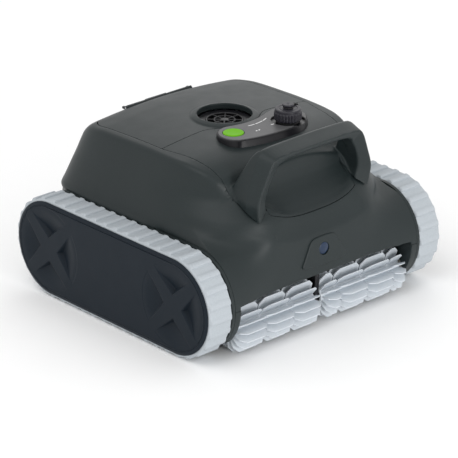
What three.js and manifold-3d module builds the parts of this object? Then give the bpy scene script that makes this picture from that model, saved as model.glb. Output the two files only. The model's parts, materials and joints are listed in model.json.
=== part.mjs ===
// Pool cleaner: a cordless tracked robot with a twin front brush, a lift-up filter lid,
// a carry handle, and the drive, pump, battery and filter that it holds inside.
// Millimetres, +Z up. The origin is on the ground under the middle of the robot.
// +Y points to the rear, the brush is at the front, and +X is the robot's width.
import * as THREE from 'three';
import { mergeVertices } from 'three/addons/utils/BufferGeometryUtils.js';
import Module from 'manifold-3d';

const wasm = await Module();
wasm.setup();

// ---------------------------------------------------------------- driving dimensions
const WIDTH = 440;
const WALL = 3;
const GAP = 0.35;

const AXLE_Y = 129.5;
const AXLE_Z = 74.7;
const TRACK = { tip: 74.7, root: 72.4, inner: 66, x0: 178.2, x1: 217.2, treads: 45 };
const COVER = { radius: 70, x0: 217.7, depth: 5, dish: 59 };
const FRAME = { radius: 72.5, x0: 172.4, x1: 177.4 };
const SHAFT_R = 8;

const GEAR = { module: 2.074, x0: 164.6, x1: 170.6, drive: 43, brush: 11, motor: 10 };
const MOTOR_ANGLE = -10 * Math.PI / 180;
const MOTOR_REACH = GEAR.module * (GEAR.drive + GEAR.motor) / 2;
const MOTOR = {
  y: -AXLE_Y + MOTOR_REACH * Math.cos(MOTOR_ANGLE),
  z: AXLE_Z + MOTOR_REACH * Math.sin(MOTOR_ANGLE),
  r: 21,
};

const BRUSH = { y: -169, z: 35.2, tip: 34.7, core: 13, x0: 6, x1: 159, rows: 12, columns: 3 };
const BAY = { radius: 45, half: 161.4, lip: 80 };

const FLOOR_Z = 24;
const SPLIT_Z = 75;
const SHOULDER_Z = 147.4;
const TOP_Z = 262;

const PUMP = { y: 8, duct: 30, impeller: 24, base: 100 };
const LID = { front: -12.5, half: 134, rear: 143.4, cut: 214, ring: 47, hole: 38.4 };
const HINGE = { y: 147, z: 238.6, knuckle: 3, pin: 1.4, half: 62 };
const BASKET = { x: 112, y0: 46, y1: 112, z0: 46, z1: 231, wall: 2.4 };
const INLET = { x: 60, y0: 62, y1: 92 };
const FLAP = { hinge: INLET.y1 + 2.4, z: FLOOR_Z + WALL + 2, r: 1.5 };

const BUTTON = { x: -43.6, y: -57.5, r: 14.5 };
const CAP = { x: 45, y: -72, r: 19.5, z0: 256.8, z1: 273.5 };
const PANEL = { z0: 240, seat: 253.6, z1: 256, inner: 50, outer: 104 };
const HANDLE = { back: -150, top: 272 };
const SENSOR = { y: -199, z: 115 };
const CASE = { x: 88, y0: -118, y1: -36, z0: 98, z1: 186 };

// ---------------------------------------------------------------- materials
const finish = (color, roughness, metalness = 0) =>
  new THREE.MeshStandardMaterial({ color, roughness, metalness });

const SHELL = finish(0x3b4042, 0.5);
const COVER_GREY = finish(0x2a313a, 0.55);
const DARK = finish(0x24262a, 0.55);
const TRACK_RUBBER = finish(0xbcc1c6, 0.75);
const BLACK_RUBBER = finish(0x17181a, 0.85);
const PANEL_GREY = finish(0x7d7d80, 0.4);
const GREEN = finish(0x8fc81e, 0.35);
const LENS_BLUE = finish(0x1c2d46, 0.08);
const NYLON = finish(0xd8d6cc, 0.5);
const STEEL = finish(0xb4b8bd, 0.3, 1);
const BATTERY_BLUE = finish(0x2b4f86, 0.45);
const BOARD_GREEN = finish(0x1d5a35, 0.5);
const MESH_WHITE = finish(0xdadcdc, 0.8);

const cleaner = new THREE.Group();

// ---------------------------------------------------------------- solids
function signedVolume(geometry) {
  const p = geometry.attributes.position;
  const [a, b, c] = [new THREE.Vector3(), new THREE.Vector3(), new THREE.Vector3()];
  let volume = 0;
  for (let i = 0; i < geometry.index.count; i += 3) {
    a.fromBufferAttribute(p, geometry.index.getX(i));
    b.fromBufferAttribute(p, geometry.index.getX(i + 1));
    c.fromBufferAttribute(p, geometry.index.getX(i + 2));
    volume += a.dot(b.cross(c)) / 6;
  }
  return volume;
}

// A closed three.js geometry as a solid that can be joined and cut.
function solid(geometry) {
  const bare = geometry.clone();
  bare.deleteAttribute('normal');
  bare.deleteAttribute('uv');
  const merged = mergeVertices(bare, 1e-4);
  const index = Array.from(merged.index.array);
  const kept = [];
  for (let i = 0; i < index.length; i += 3) {
    const [a, b, c] = index.slice(i, i + 3);
    if (a !== b && b !== c && c !== a) kept.push(a, b, c);
  }
  merged.setIndex(kept);
  const flipped = signedVolume(merged) < 0;
  const triVerts = new Uint32Array(kept);
  if (flipped) {
    for (let i = 0; i < triVerts.length; i += 3) {
      [triVerts[i], triVerts[i + 1]] = [triVerts[i + 1], triVerts[i]];
    }
  }
  const vertProperties = new Float32Array(merged.attributes.position.array);
  return new wasm.Manifold(new wasm.Mesh({ numProp: 3, vertProperties, triVerts }));
}

// The biggest connected body of a solid, without slivers that a cut leaves behind.
function largest(manifold) {
  const bodies = manifold.decompose();
  return bodies.reduce((best, body) => (body.volume() > best.volume() ? body : best));
}

function joined(solids) {
  return solids.reduce((sum, next) => sum.add(next));
}

function add(name, manifold, material) {
  const mesh = largest(manifold).getMesh();
  const geometry = new THREE.BufferGeometry();
  geometry.setAttribute('position', new THREE.Float32BufferAttribute(mesh.vertProperties, 3));
  geometry.setIndex(Array.from(mesh.triVerts));
  const node = new THREE.Mesh(geometry, material);
  node.name = name;
  cleaner.add(node);
}

const X = new THREE.Vector3(1, 0, 0);
const Y = new THREE.Vector3(0, 1, 0);
const Z = new THREE.Vector3(0, 0, 1);

function extrude(outline, depth) {
  const shape = new THREE.Shape(outline.map(([a, b]) => new THREE.Vector2(a, b)));
  return new THREE.ExtrudeGeometry(shape, { depth, bevelEnabled: false, steps: 1 });
}

// Prisms named by the axis they run along, with outlines in the other two.
function prismX(outline, x0, x1) {
  const turn = new THREE.Matrix4().makeBasis(Y, Z, X).setPosition(Math.min(x0, x1), 0, 0);
  return solid(extrude(outline, Math.abs(x1 - x0)).applyMatrix4(turn));
}

function prismY(outline, y0, y1) {
  const turn = new THREE.Matrix4().makeBasis(X, Z, Y.clone().negate()).setPosition(0, y1, 0);
  return solid(extrude(outline, y1 - y0).applyMatrix4(turn));
}

function prismZ(outline, z0, z1) {
  return solid(extrude(outline, z1 - z0).translate(0, 0, z0));
}

function box(x0, x1, y0, y1, z0, z1) {
  const geometry = new THREE.BoxGeometry(x1 - x0, y1 - y0, z1 - z0);
  return solid(geometry.translate((x0 + x1) / 2, (y0 + y1) / 2, (z0 + z1) / 2));
}

function cylinderX(radius, x0, x1, y, z, sides = 24) {
  const [low, high] = [Math.min(x0, x1), Math.max(x0, x1)];
  const geometry = new THREE.CylinderGeometry(radius, radius, high - low, sides);
  return solid(geometry.rotateZ(Math.PI / 2).translate((low + high) / 2, y, z));
}

function cylinderZ(radius, z0, z1, x, y, sides = 24, topRadius = radius) {
  const geometry = new THREE.CylinderGeometry(topRadius, radius, z1 - z0, sides);
  return solid(geometry.rotateX(Math.PI / 2).translate(x, y, (z0 + z1) / 2));
}

// A turned body about an axis parallel to X: profile points are [radius, x].
function latheX(profile, y, z, segments) {
  const points = profile.map(([r, x]) => new THREE.Vector2(r, x));
  const geometry = new THREE.LatheGeometry(points, segments).rotateZ(-Math.PI / 2);
  return solid(geometry.translate(0, y, z));
}

// A turned body about an axis parallel to Z: profile points are [radius, z].
function latheZ(profile, x, y, segments) {
  const points = profile.map(([r, z]) => new THREE.Vector2(r, z));
  const geometry = new THREE.LatheGeometry(points, segments).rotateX(Math.PI / 2);
  return solid(geometry.translate(x, y, 0));
}

// A closed skin through rings of equal point count, capped at both ends.
function loft(rings) {
  const count = rings[0].length;
  const positions = rings.flat(2);
  const index = [];
  for (let r = 0; r < rings.length - 1; r++) {
    for (let i = 0; i < count; i++) {
      const j = (i + 1) % count;
      const [a, b] = [r * count + i, r * count + j];
      index.push(a, b, b + count, a, b + count, a + count);
    }
  }
  const last = (rings.length - 1) * count;
  for (let i = 1; i < count - 1; i++) {
    index.push(0, i + 1, i);
    index.push(last, last + i, last + i + 1);
  }
  const geometry = new THREE.BufferGeometry();
  geometry.setAttribute('position', new THREE.Float32BufferAttribute(positions, 3));
  geometry.setIndex(index);
  return solid(geometry);
}

// Value of a smooth-enough run of [position, value] pairs at t, straight between them.
function along(pairs, t) {
  if (t <= pairs[0][0]) return pairs[0][1];
  for (let i = 1; i < pairs.length; i++) {
    const [a, u] = pairs[i - 1];
    const [b, v] = pairs[i];
    if (t <= b) return u + (v - u) * (t - a) / (b - a);
  }
  return pairs[pairs.length - 1][1];
}

// The outline of a track, frame or cover: two half circles round the axles, in [y, z].
function stadium(radius, arcSteps = 12) {
  const points = [];
  for (const [centre, start] of [[AXLE_Y, -Math.PI / 2], [-AXLE_Y, Math.PI / 2]]) {
    for (let i = 0; i <= arcSteps; i++) {
      const angle = start + Math.PI * i / arcSteps;
      points.push([centre + radius * Math.cos(angle), AXLE_Z + radius * Math.sin(angle)]);
    }
  }
  return points;
}

// A point at distance s along the stadium's centre line of the given radius,
// starting under the front axle and running to the rear.
function stadiumPoint(radius, s, pathRadius) {
  const straight = 2 * AXLE_Y;
  const arc = Math.PI * pathRadius;
  const onArc = (centre, angle) =>
    [centre + radius * Math.cos(angle), AXLE_Z + radius * Math.sin(angle)];
  if (s < straight) return [-AXLE_Y + s, AXLE_Z - radius];
  if (s < straight + arc) return onArc(AXLE_Y, -Math.PI / 2 + (s - straight) / pathRadius);
  if (s < 2 * straight + arc) return [AXLE_Y - (s - straight - arc), AXLE_Z + radius];
  return onArc(-AXLE_Y, Math.PI / 2 + (s - 2 * straight - arc) / pathRadius);
}

// ---------------------------------------------------------------- the body's outside form
const BODY_HALF = 172;
const FENDER_X = 153;
const WALL_HALF_WIDTH = [[147, 177], [165, 171], [195, 161], [225, 152], [242, 147], [262, 144]];
const REAR_REACH = [
  [75, 202], [110, 200], [133, 197], [165, 186], [195, 175], [220, 166], [240, 156], [262, 150],
];
const FRONT_REACH = [
  [80, 195], [110, 191], [140, 188], [156, 186], [174, 184], [188, 174], [203, 163], [262, 160],
];
const FRONT_SQUARENESS = [[80, 5], [147, 5], [165, 3.2], [203, 2.5], [234, 2.85], [262, 3]];
const REAR_SQUARENESS = 6.5;
const RIDGE_HEIGHT = [
  [-200, 128], [-192, 141], [-186, 157], [-173, 178], [-165, 190], [-150, 210], [-135, 230],
  [-125, 236], [-110, 242], [-80, 248], [-50, 250.5], [8, 252], [60, 251], [100, 249.5],
  [120, 247], [134, 244.5], [142, 241.5], [150, 237], [158, 230.5], [166, 221.5], [215, 200],
];
const SIDE_FALL = [
  [-200, 0], [-173, 0.0003], [-165, 0.0009], [-150, 0.0018], [-130, 0.00235], [-113, 0.00113],
  [-93, 0.00064], [-60, 0.00046], [200, 0.00046],
];

// One level of the walls: a squared ellipse, wider at the rear than at the front.
function wallRing(z, halfWidth, inset) {
  const steps = 28;
  const ring = [];
  for (let i = 0; i < steps; i++) {
    const angle = 2 * Math.PI * i / steps;
    const [c, s] = [Math.cos(angle), Math.sin(angle)];
    const front = s < 0;
    const power = 2 / (front ? along(FRONT_SQUARENESS, z) : REAR_SQUARENESS);
    const reach = (front ? along(FRONT_REACH, z) : along(REAR_REACH, z)) - inset;
    const x = (halfWidth - inset) * Math.sign(c) * Math.abs(c) ** power;
    const y = reach * Math.sign(s) * Math.abs(s) ** power;
    ring.push([x, y, z]);
  }
  return ring;
}

function walls(levels, inset, halfWidth) {
  return loft(levels.map((z) => wallRing(z, halfWidth ?? along(WALL_HALF_WIDTH, z), inset)));
}

function topHeight(x, y) {
  return along(RIDGE_HEIGHT, y) - along(SIDE_FALL, y) * x * x;
}

const TOP_STATIONS = [
  -215, -186, -173, -150, -135, -125, -110, -80, -50, 8, 60, 100, 134, 142, 150, 158, 166, 215,
];

// Everything under the domed top, down to below the floor.
function underTop(drop) {
  const across = [-180, -146, -110, -75, -38, 0, 38, 75, 110, 146, 180];
  const rings = TOP_STATIONS.map((y) => [
    ...across.map((x) => [x, y, topHeight(x, y) - drop]),
    [180, y, 0],
    [-180, y, 0],
  ]);
  return loft(rings);
}

const LOWER_LEVELS = [70, 110, 130, SHOULDER_Z + 1];
const UPPER_LEVELS = [SHOULDER_Z, 165, 188, 203, 220, 240, TOP_Z];

// The finger recess under the handle, open to the front and behind the bar, in [y, z].
const RECESS = [
  [-136, 300], [-136, 212], [-141, 199], [-150, 188], [-163, 176], [-175, 165],
  [-186, 141], [-215, 141], [-215, 300],
];
const RECESS_HALF = 80;

function recess(grow) {
  const outline = RECESS.map(([y, z]) => [y + grow, z - grow]);
  return prismX(outline, -RECESS_HALF - grow, RECESS_HALF + grow);
}

// The room that the brush turns in.
function brushBay(grow) {
  const round = cylinderX(BAY.radius + grow, -BAY.half - grow, BAY.half + grow, BRUSH.y, BRUSH.z, 24);
  const mouth = box(-BAY.half - grow, BAY.half + grow, -215, BRUSH.y, -10, BAY.lip + grow);
  return round.add(mouth);
}

// The body over the wheels: full width at the rear, two fenders beside the nose at the front.
function fenders(inset) {
  const nose = FENDER_X + inset;
  return prismX(stadium(FRAME.radius - inset), -BODY_HALF + inset, BODY_HALF - inset)
    .subtract(box(-nose, nose, -215, -AXLE_Y + inset, 60, 200));
}

function outerForm() {
  const lower = fenders(0).add(walls(LOWER_LEVELS, 0, BODY_HALF));
  const upper = walls(UPPER_LEVELS, 0);
  return lower
    .add(upper)
    .intersect(underTop(0))
    .subtract(box(-200, 200, -220, 220, -10, FLOOR_Z))
    .subtract(brushBay(0))
    .subtract(recess(0));
}

function innerForm() {
  const levels = LOWER_LEVELS.map((z) => z + WALL);
  const lower = fenders(WALL).add(walls(levels, WALL, BODY_HALF));
  const upperLevels = UPPER_LEVELS.map((z) => (z === SHOULDER_Z ? z + WALL : z));
  return lower
    .add(walls(upperLevels, WALL))
    .intersect(underTop(WALL))
    .subtract(box(-200, 200, -220, 220, -10, FLOOR_Z + WALL))
    .subtract(brushBay(WALL))
    .subtract(recess(WALL));
}

// ---------------------------------------------------------------- casings
// What the lid covers, seen from above: straight sides, rounded rear corners,
// and a round bulge forward that takes the outlet.
function lidCutter(grow, rearGrow) {
  const [half, rear] = [LID.half + grow, LID.rear + rearGrow];
  const corner = 34;
  const outline = [[half, LID.front - grow]];
  for (let i = 0; i <= 4; i++) {
    const angle = (Math.PI / 2) * i / 4;
    outline.push([
      half - corner + corner * Math.cos(angle),
      rear - corner + corner * Math.sin(angle),
    ]);
  }
  const mirrored = outline.map(([x, y]) => [-x, y]).reverse();
  return prismZ([...outline, ...mirrored], LID.cut, 300)
    .add(cylinderZ(LID.ring + grow, LID.cut, 300, 0, PUMP.y, 28));
}

// What the front shell covers: back to the lid, out to the side seams, and down
// to the two V-shaped feet of the handle and the foot of the finger recess.
const FRONT_PLAN = [[133.6, -12], [127, -50], [123, -80], [119, -105], [113, -131], [101, -174.5]];
const FOOT_LINE = [[-12, 190], [-131, 201], [-174.5, 174.5]];

function frontCutter(grow) {
  const right = FRONT_PLAN.map(([x, y], i) => [x + grow, y - (i === 5 ? grow : 0)]);
  const mirrored = right.map(([x, y]) => [-x, y]).reverse();
  const plan = prismZ([...right, ...mirrored], 150, 300);
  const side = [
    ...FOOT_LINE.map(([y, z]) => [y, z - grow]),
    [-176, 174.5 - grow],
    [-176, 300],
    [-12, 300],
  ];
  const recessSide = [
    [-118, 186 - grow], [-150, 168 - grow], [-174.5 - grow, 160 - grow],
    [-174.5 - grow, 300], [-118, 300],
  ];
  return plan.intersect(prismX(side, -150, 150))
    .add(prismX(recessSide, -RECESS_HALF - 2 * grow, RECESS_HALF + 2 * grow));
}

// The handle's outside, right half, up from the tip of the V, in [x, z].
const HANDLE_RIM = [
  [101, 174], [105, 188], [106, 201], [101, 214], [95, 232], [88, 248], [82, 260],
  [72, 267.5], [45, 270.5], [0, HANDLE.top],
];
const HANDLE_HOLE = [[82, 186], [84, 200], [83, 216], [78, 232], [71, 244], [62, 252], [0, 256.5]];
const HANDLE_SIDE = [
  [-174.5, 174.5], [-181, 262], [-176, 268], [-165, HANDLE.top], [-156, HANDLE.top],
  [-150, 269], [-138, 258], [-112, 242], [-112, 206],
];

function handleBlank(grow) {
  const right = HANDLE_RIM.map(([x, z]) => [x + grow, z + (z > 230 ? grow : -grow)]);
  right[right.length - 1][0] = 0;
  const left = right.slice(0, -1).map(([x, z]) => [-x, z]).reverse();
  const outline = [[0, 174 - grow], ...right, ...left];
  const side = HANDLE_SIDE.map(([y, z]) => [
    y + (y > HANDLE.back - 1 ? grow : -grow), z + (z > 240 ? grow : -grow),
  ]);
  return prismY(outline, -190, -100).intersect(prismX(side, -120, 120));
}

function handle() {
  const left = HANDLE_HOLE.slice(0, -1).map(([x, z]) => [-x, z]).reverse();
  const hole = prismY([[0, 150], ...HANDLE_HOLE, ...left], -200, -90);
  const foot = prismY([[0, 150], [101, 174], [80, 188.5], [-80, 188.5], [-101, 174]], -200, -90);
  const behindBar = box(-RECESS_HALF, RECESS_HALF, HANDLE.back, -90, 190, 300);
  return handleBlank(0).subtract(hole).subtract(foot).subtract(behindBar);
}

const outer = outerForm();
const casing = outer.subtract(innerForm());
const upperCasing = casing.intersect(box(-250, 250, -250, 250, SPLIT_Z + GAP / 2, 320));

// Round openings in the side walls that let the gears through to the side frames.
const tipRadius = (teeth) => GEAR.module * (teeth / 2 + 0.9);

function gearRoom(s) {
  const room = (teeth, y, z, x0) =>
    cylinderX(tipRadius(teeth) + 0.9, s * x0, s * 172.2, y, z, 24);
  return room(GEAR.drive, -AXLE_Y, AXLE_Z, 164.2)
    .add(room(GEAR.brush, BRUSH.y, BRUSH.z, 164.2))
    .add(room(GEAR.motor, MOTOR.y, MOTOR.z, 164.2))
    .add(cylinderX(7, s * 160, s * 166, BRUSH.y, BRUSH.z, 16));
}
const gearRooms = gearRoom(-1).add(gearRoom(1));

const lidKnuckles = [[-HINGE.half + 4, -20], [20, HINGE.half - 4]];
const bodyKnuckles = [[-19.6, 19.6], [-HINGE.half, -HINGE.half + 3.6], [HINGE.half - 3.6, HINGE.half]];

function knuckle([x0, x1], reach) {
  const web = box(x0, x1, Math.min(0, reach), Math.max(0, reach), -2.2, 0.8)
    .translate([0, HINGE.y, HINGE.z]);
  return cylinderX(HINGE.knuckle, x0, x1, HINGE.y, HINGE.z, 16).add(web);
}
const pinBore = cylinderX(HINGE.pin + 0.3, -HINGE.half - 1, HINGE.half + 1, HINGE.y, HINGE.z, 12);
const hingeSlot = cylinderX(HINGE.knuckle + 0.7, -HINGE.half - 0.5, HINGE.half + 0.5, HINGE.y, HINGE.z, 16);

const trayTop = FLOOR_Z + WALL;
const traySupports = joined([-1, 1].flatMap((s) => [
  box(s > 0 ? 92 : -120, s > 0 ? 120 : -92, MOTOR.y - 18, MOTOR.y + 18, trayTop - 1, MOTOR.z - 6)
    .subtract(cylinderX(MOTOR.r + GAP, s * 80, s * 130, MOTOR.y, MOTOR.z, 24)),
  box(s > 0 ? 98 : -102, s > 0 ? 102 : -98, BASKET.y0 + 4, BASKET.y1 - 4, trayTop - 1, BASKET.z0 - GAP),
]));

const baseTray = casing
  .intersect(box(-250, 250, -250, 250, 0, SPLIT_Z - GAP / 2))
  .add(traySupports)
  .subtract(gearRooms)
  .subtract(box(-INLET.x, -1.5, INLET.y0, INLET.y1, 10, 40))
  .subtract(box(1.5, INLET.x, INLET.y0, INLET.y1, 10, 40));
add('base_tray', baseTray, SHELL);

const mainHousing = upperCasing
  .subtract(gearRooms)
  .subtract(frontCutter(GAP))
  .subtract(handleBlank(GAP))
  .subtract(lidCutter(GAP, 1))
  .subtract(hingeSlot)
  .add(joined(bodyKnuckles.map((span) => knuckle(span, 7))))
  .subtract(pinBore);
add('main_housing', mainHousing, SHELL);

const panelRoom = cylinderZ(18, 230, 262, CAP.x, CAP.y, 20)
  .add(cylinderZ(BUTTON.r + 0.4, 230, 262, BUTTON.x, BUTTON.y, 20));
const legRoom = handleBlank(GAP).subtract(
  box(-RECESS_HALF + GAP, RECESS_HALF - GAP, -200, -90, 150, 300),
);
const frontShell = upperCasing
  .intersect(frontCutter(0))
  .subtract(lidCutter(GAP, 1))
  .subtract(legRoom)
  .subtract(panelRoom);
add('front_shell', frontShell, SHELL);
add('carry_handle', handle(), SHELL);

const outletRing = cylinderZ(46, 246, 257.4, 0, PUMP.y, 28, 39.5);
const filterLid = upperCasing
  .intersect(lidCutter(0, 0))
  .add(outletRing)
  .subtract(cylinderZ(LID.hole, 230, 270, 0, PUMP.y, 28))
  .subtract(hingeSlot)
  .add(joined(lidKnuckles.map((span) => knuckle(span, -7))))
  .subtract(pinBore);
add('filter_lid', filterLid, SHELL);

const hingePin = cylinderX(HINGE.pin, -HINGE.half + 0.4, HINGE.half - 0.4, HINGE.y, HINGE.z, 12);
add('lid_hinge_pin', hingePin, STEEL);

// The sunken outlet: a dished ring that carries a spoked guard.
function outletGrille() {
  const dish = latheZ([
    [38, 257.2], [38, 250], [28.5, 243], [23, 243], [23, 245.4], [27.4, 245.4], [34.6, 251.4],
    [34.6, 257.2], [38, 257.2],
  ], 0, PUMP.y, 28);
  const ring = latheZ([[14, 243], [16.4, 243], [16.4, 245.4], [14, 245.4], [14, 243]], 0, PUMP.y, 18);
  const spokes = [0, 1, 2].map((i) =>
    box(-24, 24, -1.2, 1.2, 243.2, 245.2).rotate([0, 0, i * 60]).translate([0, PUMP.y, 0]));
  return joined([dish, ring, cylinderZ(6, 243, 246.2, 0, PUMP.y, 12), ...spokes]);
}
add('outlet_grille', outletGrille(), DARK);

// ---------------------------------------------------------------- control panel
// A crescent round the outlet with round ends, from above.
function panelOutline(grow) {
  const centre = (PANEL.inner + PANEL.outer) / 2;
  const endRadius = (PANEL.outer - PANEL.inner) / 2 + grow;
  const [from, to] = [-2.16, -0.96];
  const outline = [];
  const push = (cx, cy, r, a0, a1, steps) => {
    for (let i = 0; i <= steps; i++) {
      const a = a0 + (a1 - a0) * i / steps;
      outline.push([cx + r * Math.cos(a), cy + r * Math.sin(a)]);
    }
  };
  push(0, PUMP.y, PANEL.outer + grow, from, to, 10);
  push(centre * Math.cos(to), PUMP.y + centre * Math.sin(to), endRadius, to, to + Math.PI, 10);
  push(0, PUMP.y, PANEL.inner - grow, to, from, 8);
  push(centre * Math.cos(from), PUMP.y + centre * Math.sin(from), endRadius,
    from + Math.PI, from + 2 * Math.PI, 10);
  return outline.filter(([x, y], i) => {
    const [px, py] = outline[(i + outline.length - 1) % outline.length];
    return Math.hypot(x - px, y - py) > 0.05;
  });
}

const buttonBore = cylinderZ(BUTTON.r + 0.4, 230, 262, BUTTON.x, BUTTON.y, 24);
const socketBore = cylinderZ(15.2, 230, 262, CAP.x, CAP.y, 24);
const panelBase = prismZ(panelOutline(0), PANEL.z0, PANEL.seat)
  .subtract(underTop(-GAP))
  .subtract(outletRing.scale([1.008, 1, 1.1]).translate([0, 0, -20]))
  .subtract(cylinderZ(47.6, 230, 262, 0, PUMP.y, 36))
  .subtract(buttonBore)
  .subtract(socketBore);
add('panel_base', panelBase, DARK);
const panelPlate = prismZ(panelOutline(-1), PANEL.seat + 0.3, PANEL.z1)
  .subtract(buttonBore)
  .subtract(cylinderZ(17.5, 230, 262, CAP.x, CAP.y, 24));
add('panel_plate', panelPlate, PANEL_GREY);

const button = cylinderZ(BUTTON.r, 252, 256.6, BUTTON.x, BUTTON.y, 24)
  .add(cylinderZ(4, 240, 252, BUTTON.x, BUTTON.y, 12));
add('power_button', button, GREEN);

// The charging socket stands up through the panel, and its cap screws down over it.
const socket = latheZ([
  [0, 226], [14.8, 226], [14.8, 249], [13.4, 249], [13.4, 268], [10.5, 268], [10.5, 244], [0, 244], [0, 226],
], CAP.x, CAP.y, 24);
add('charge_socket', socket, DARK);
const contactPins = [0, 1, 2].map((i) => {
  const angle = 2 * Math.PI * i / 3;
  return cylinderZ(1.4, 246, 255, CAP.x + 5 * Math.cos(angle), CAP.y + 5 * Math.sin(angle), 8);
});
add('charge_contacts', joined([cylinderZ(9.8, 244.3, 246.5, CAP.x, CAP.y, 20), ...contactPins]), STEEL);
const seal = latheZ([[13.8, 254], [17, 254], [17, 256.4], [13.8, 256.4], [13.8, 254]], CAP.x, CAP.y, 20);
add('cap_seal', seal, BLACK_RUBBER);

function chargeCap() {
  const ribs = 20;
  const outline = [];
  for (let i = 0; i < ribs; i++) {
    for (const [step, r] of [[0, CAP.r - 1], [0.5, CAP.r]]) {
      const angle = 2 * Math.PI * (i + step) / ribs;
      outline.push([CAP.x + r * Math.cos(angle), CAP.y + r * Math.sin(angle)]);
    }
  }
  const grip = prismZ(outline, CAP.z0, CAP.z1 - 3);
  const crown = cylinderZ(CAP.r - 1.2, CAP.z1 - 3, CAP.z1, CAP.x, CAP.y, 24, CAP.r - 4);
  const neck = cylinderZ(4, CAP.z1 - 0.1, CAP.z1 + 3, CAP.x, CAP.y, 16);
  const knob = cylinderZ(8, CAP.z1 + 2.6, CAP.z1 + 6, CAP.x, CAP.y, 20);
  return joined([grip, crown, neck, knob]).subtract(cylinderZ(14.1, 250, CAP.z1 - 4, CAP.x, CAP.y, 18));
}
add('charge_cap', chargeCap(), DARK);

// The tether: an eye round the cap's neck, and a strap down to the end of the panel.
function capTether() {
  const eye = latheZ([
    [4.4, CAP.z1 + 0.35], [7, CAP.z1 + 0.35], [7, CAP.z1 + 2.25], [4.4, CAP.z1 + 2.25], [4.4, CAP.z1 + 0.35],
  ], CAP.x, CAP.y, 16);
  const [dx, dy] = [0.966, 0.259];
  const at = (r, z) => new THREE.Vector3(CAP.x + r * dx, CAP.y + r * dy, z);
  const route = new THREE.CatmullRomCurve3([
    at(6.2, CAP.z1 + 1.3), at(14, CAP.z1 + 1.6), at(20.5, CAP.z1 - 0.6), at(23.4, CAP.z1 - 6),
    at(23.8, 263), at(23.8, 257.2),
  ]);
  const section = new THREE.Shape([[-0.9, -3], [0.9, -3], [0.9, 3], [-0.9, 3]].map(
    ([a, b]) => new THREE.Vector2(a, b)));
  const strap = new THREE.ExtrudeGeometry(section, { extrudePath: route, steps: 12, bevelEnabled: false });
  return eye.add(solid(strap));
}
add('cap_tether', capTether(), BLACK_RUBBER);

// ---------------------------------------------------------------- front sensor
const bezelOutline = [
  [-42, 99], [42, 99], [33, 116], [22, 131], [12, 133.5], [-12, 133.5], [-22, 131], [-33, 116],
];
const bezel = prismY(bezelOutline, SENSOR.y, -180)
  .subtract(outer.translate([0, -GAP, 0]))
  .subtract(cylinderZ(9, 0, 30, 0, 0, 20).rotate([90, 0, 0]).translate([0, -186, SENSOR.z]));
add('sensor_bezel', bezel, DARK);
const lens = cylinderZ(8.6, 0, 5, 0, 0, 20, 7.4).rotate([90, 0, 0]).translate([0, -196, SENSOR.z]);
add('sensor_lens', lens, LENS_BLUE);

// ---------------------------------------------------------------- pump and electronics
const duct = latheZ([
  [27.4, 176], [PUMP.duct, 176], [PUMP.duct, 241], [27.4, 241], [27.4, 176],
], 0, PUMP.y, 28);
const ductLegs = [0, 1, 2].map((i) => box(22, 30, -4, 4, PUMP.base + GAP, 178)
  .rotate([0, 0, 90 + 120 * i]).translate([0, PUMP.y, 0]));
add('outlet_duct', joined([duct, ...ductLegs]).subtract(cylinderZ(27.4, 170, 180, 0, PUMP.y, 28)), DARK);
const pumpMount = cylinderZ(20, trayTop + GAP, PUMP.base - 5, 0, PUMP.y, 20)
  .add(cylinderZ(33, PUMP.base - 5.1, PUMP.base, 0, PUMP.y, 24));
add('pump_mount', pumpMount, DARK);
const pumpMotor = cylinderZ(21, PUMP.base + GAP, 204, 0, PUMP.y, 24)
  .add(cylinderZ(14, 203.9, 209, 0, PUMP.y, 16))
  .add(cylinderZ(3, 208.9, 213.4, 0, PUMP.y, 12));
add('pump_motor', pumpMotor, STEEL);
const blades = [0, 1, 2, 3].map((i) =>
  box(6, PUMP.impeller, -1, 1, -9, 9).rotate([32, 0, 0]).rotate([0, 0, 90 * i]).translate([0, PUMP.y, 225]));
add('impeller', joined([cylinderZ(8, 214, 236, 0, PUMP.y, 16, 6), ...blades]), NYLON);

const electronicsCase = box(-CASE.x, CASE.x, CASE.y0, CASE.y1, CASE.z0, CASE.z1)
  .add(box(-50, -42, -104, -46, trayTop + GAP, CASE.z0 + 1))
  .add(box(42, 50, -104, -46, trayTop + GAP, CASE.z0 + 1))
  .subtract(box(-CASE.x + 3, CASE.x - 3, CASE.y0 + 3, CASE.y1 - 3, CASE.z0 + 3, CASE.z1 + 5));
add('electronics_case', electronicsCase, DARK);
add('electronics_cover', box(-CASE.x, CASE.x, CASE.y0, CASE.y1, CASE.z1 + 0.35, CASE.z1 + 4), DARK);
const battery = joined([0, 1, 2, 3, 4, 5].map((i) =>
  box(-80 + i * 27, -55.5 + i * 27, -112, -42, 101.4, 150).add(box(-80, 80, -100, -54, 104, 148))));
add('battery_pack', battery, BATTERY_BLUE);
add('control_board', box(-70, 70, -108, -46, 158, 159.6), BOARD_GREEN);

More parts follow.
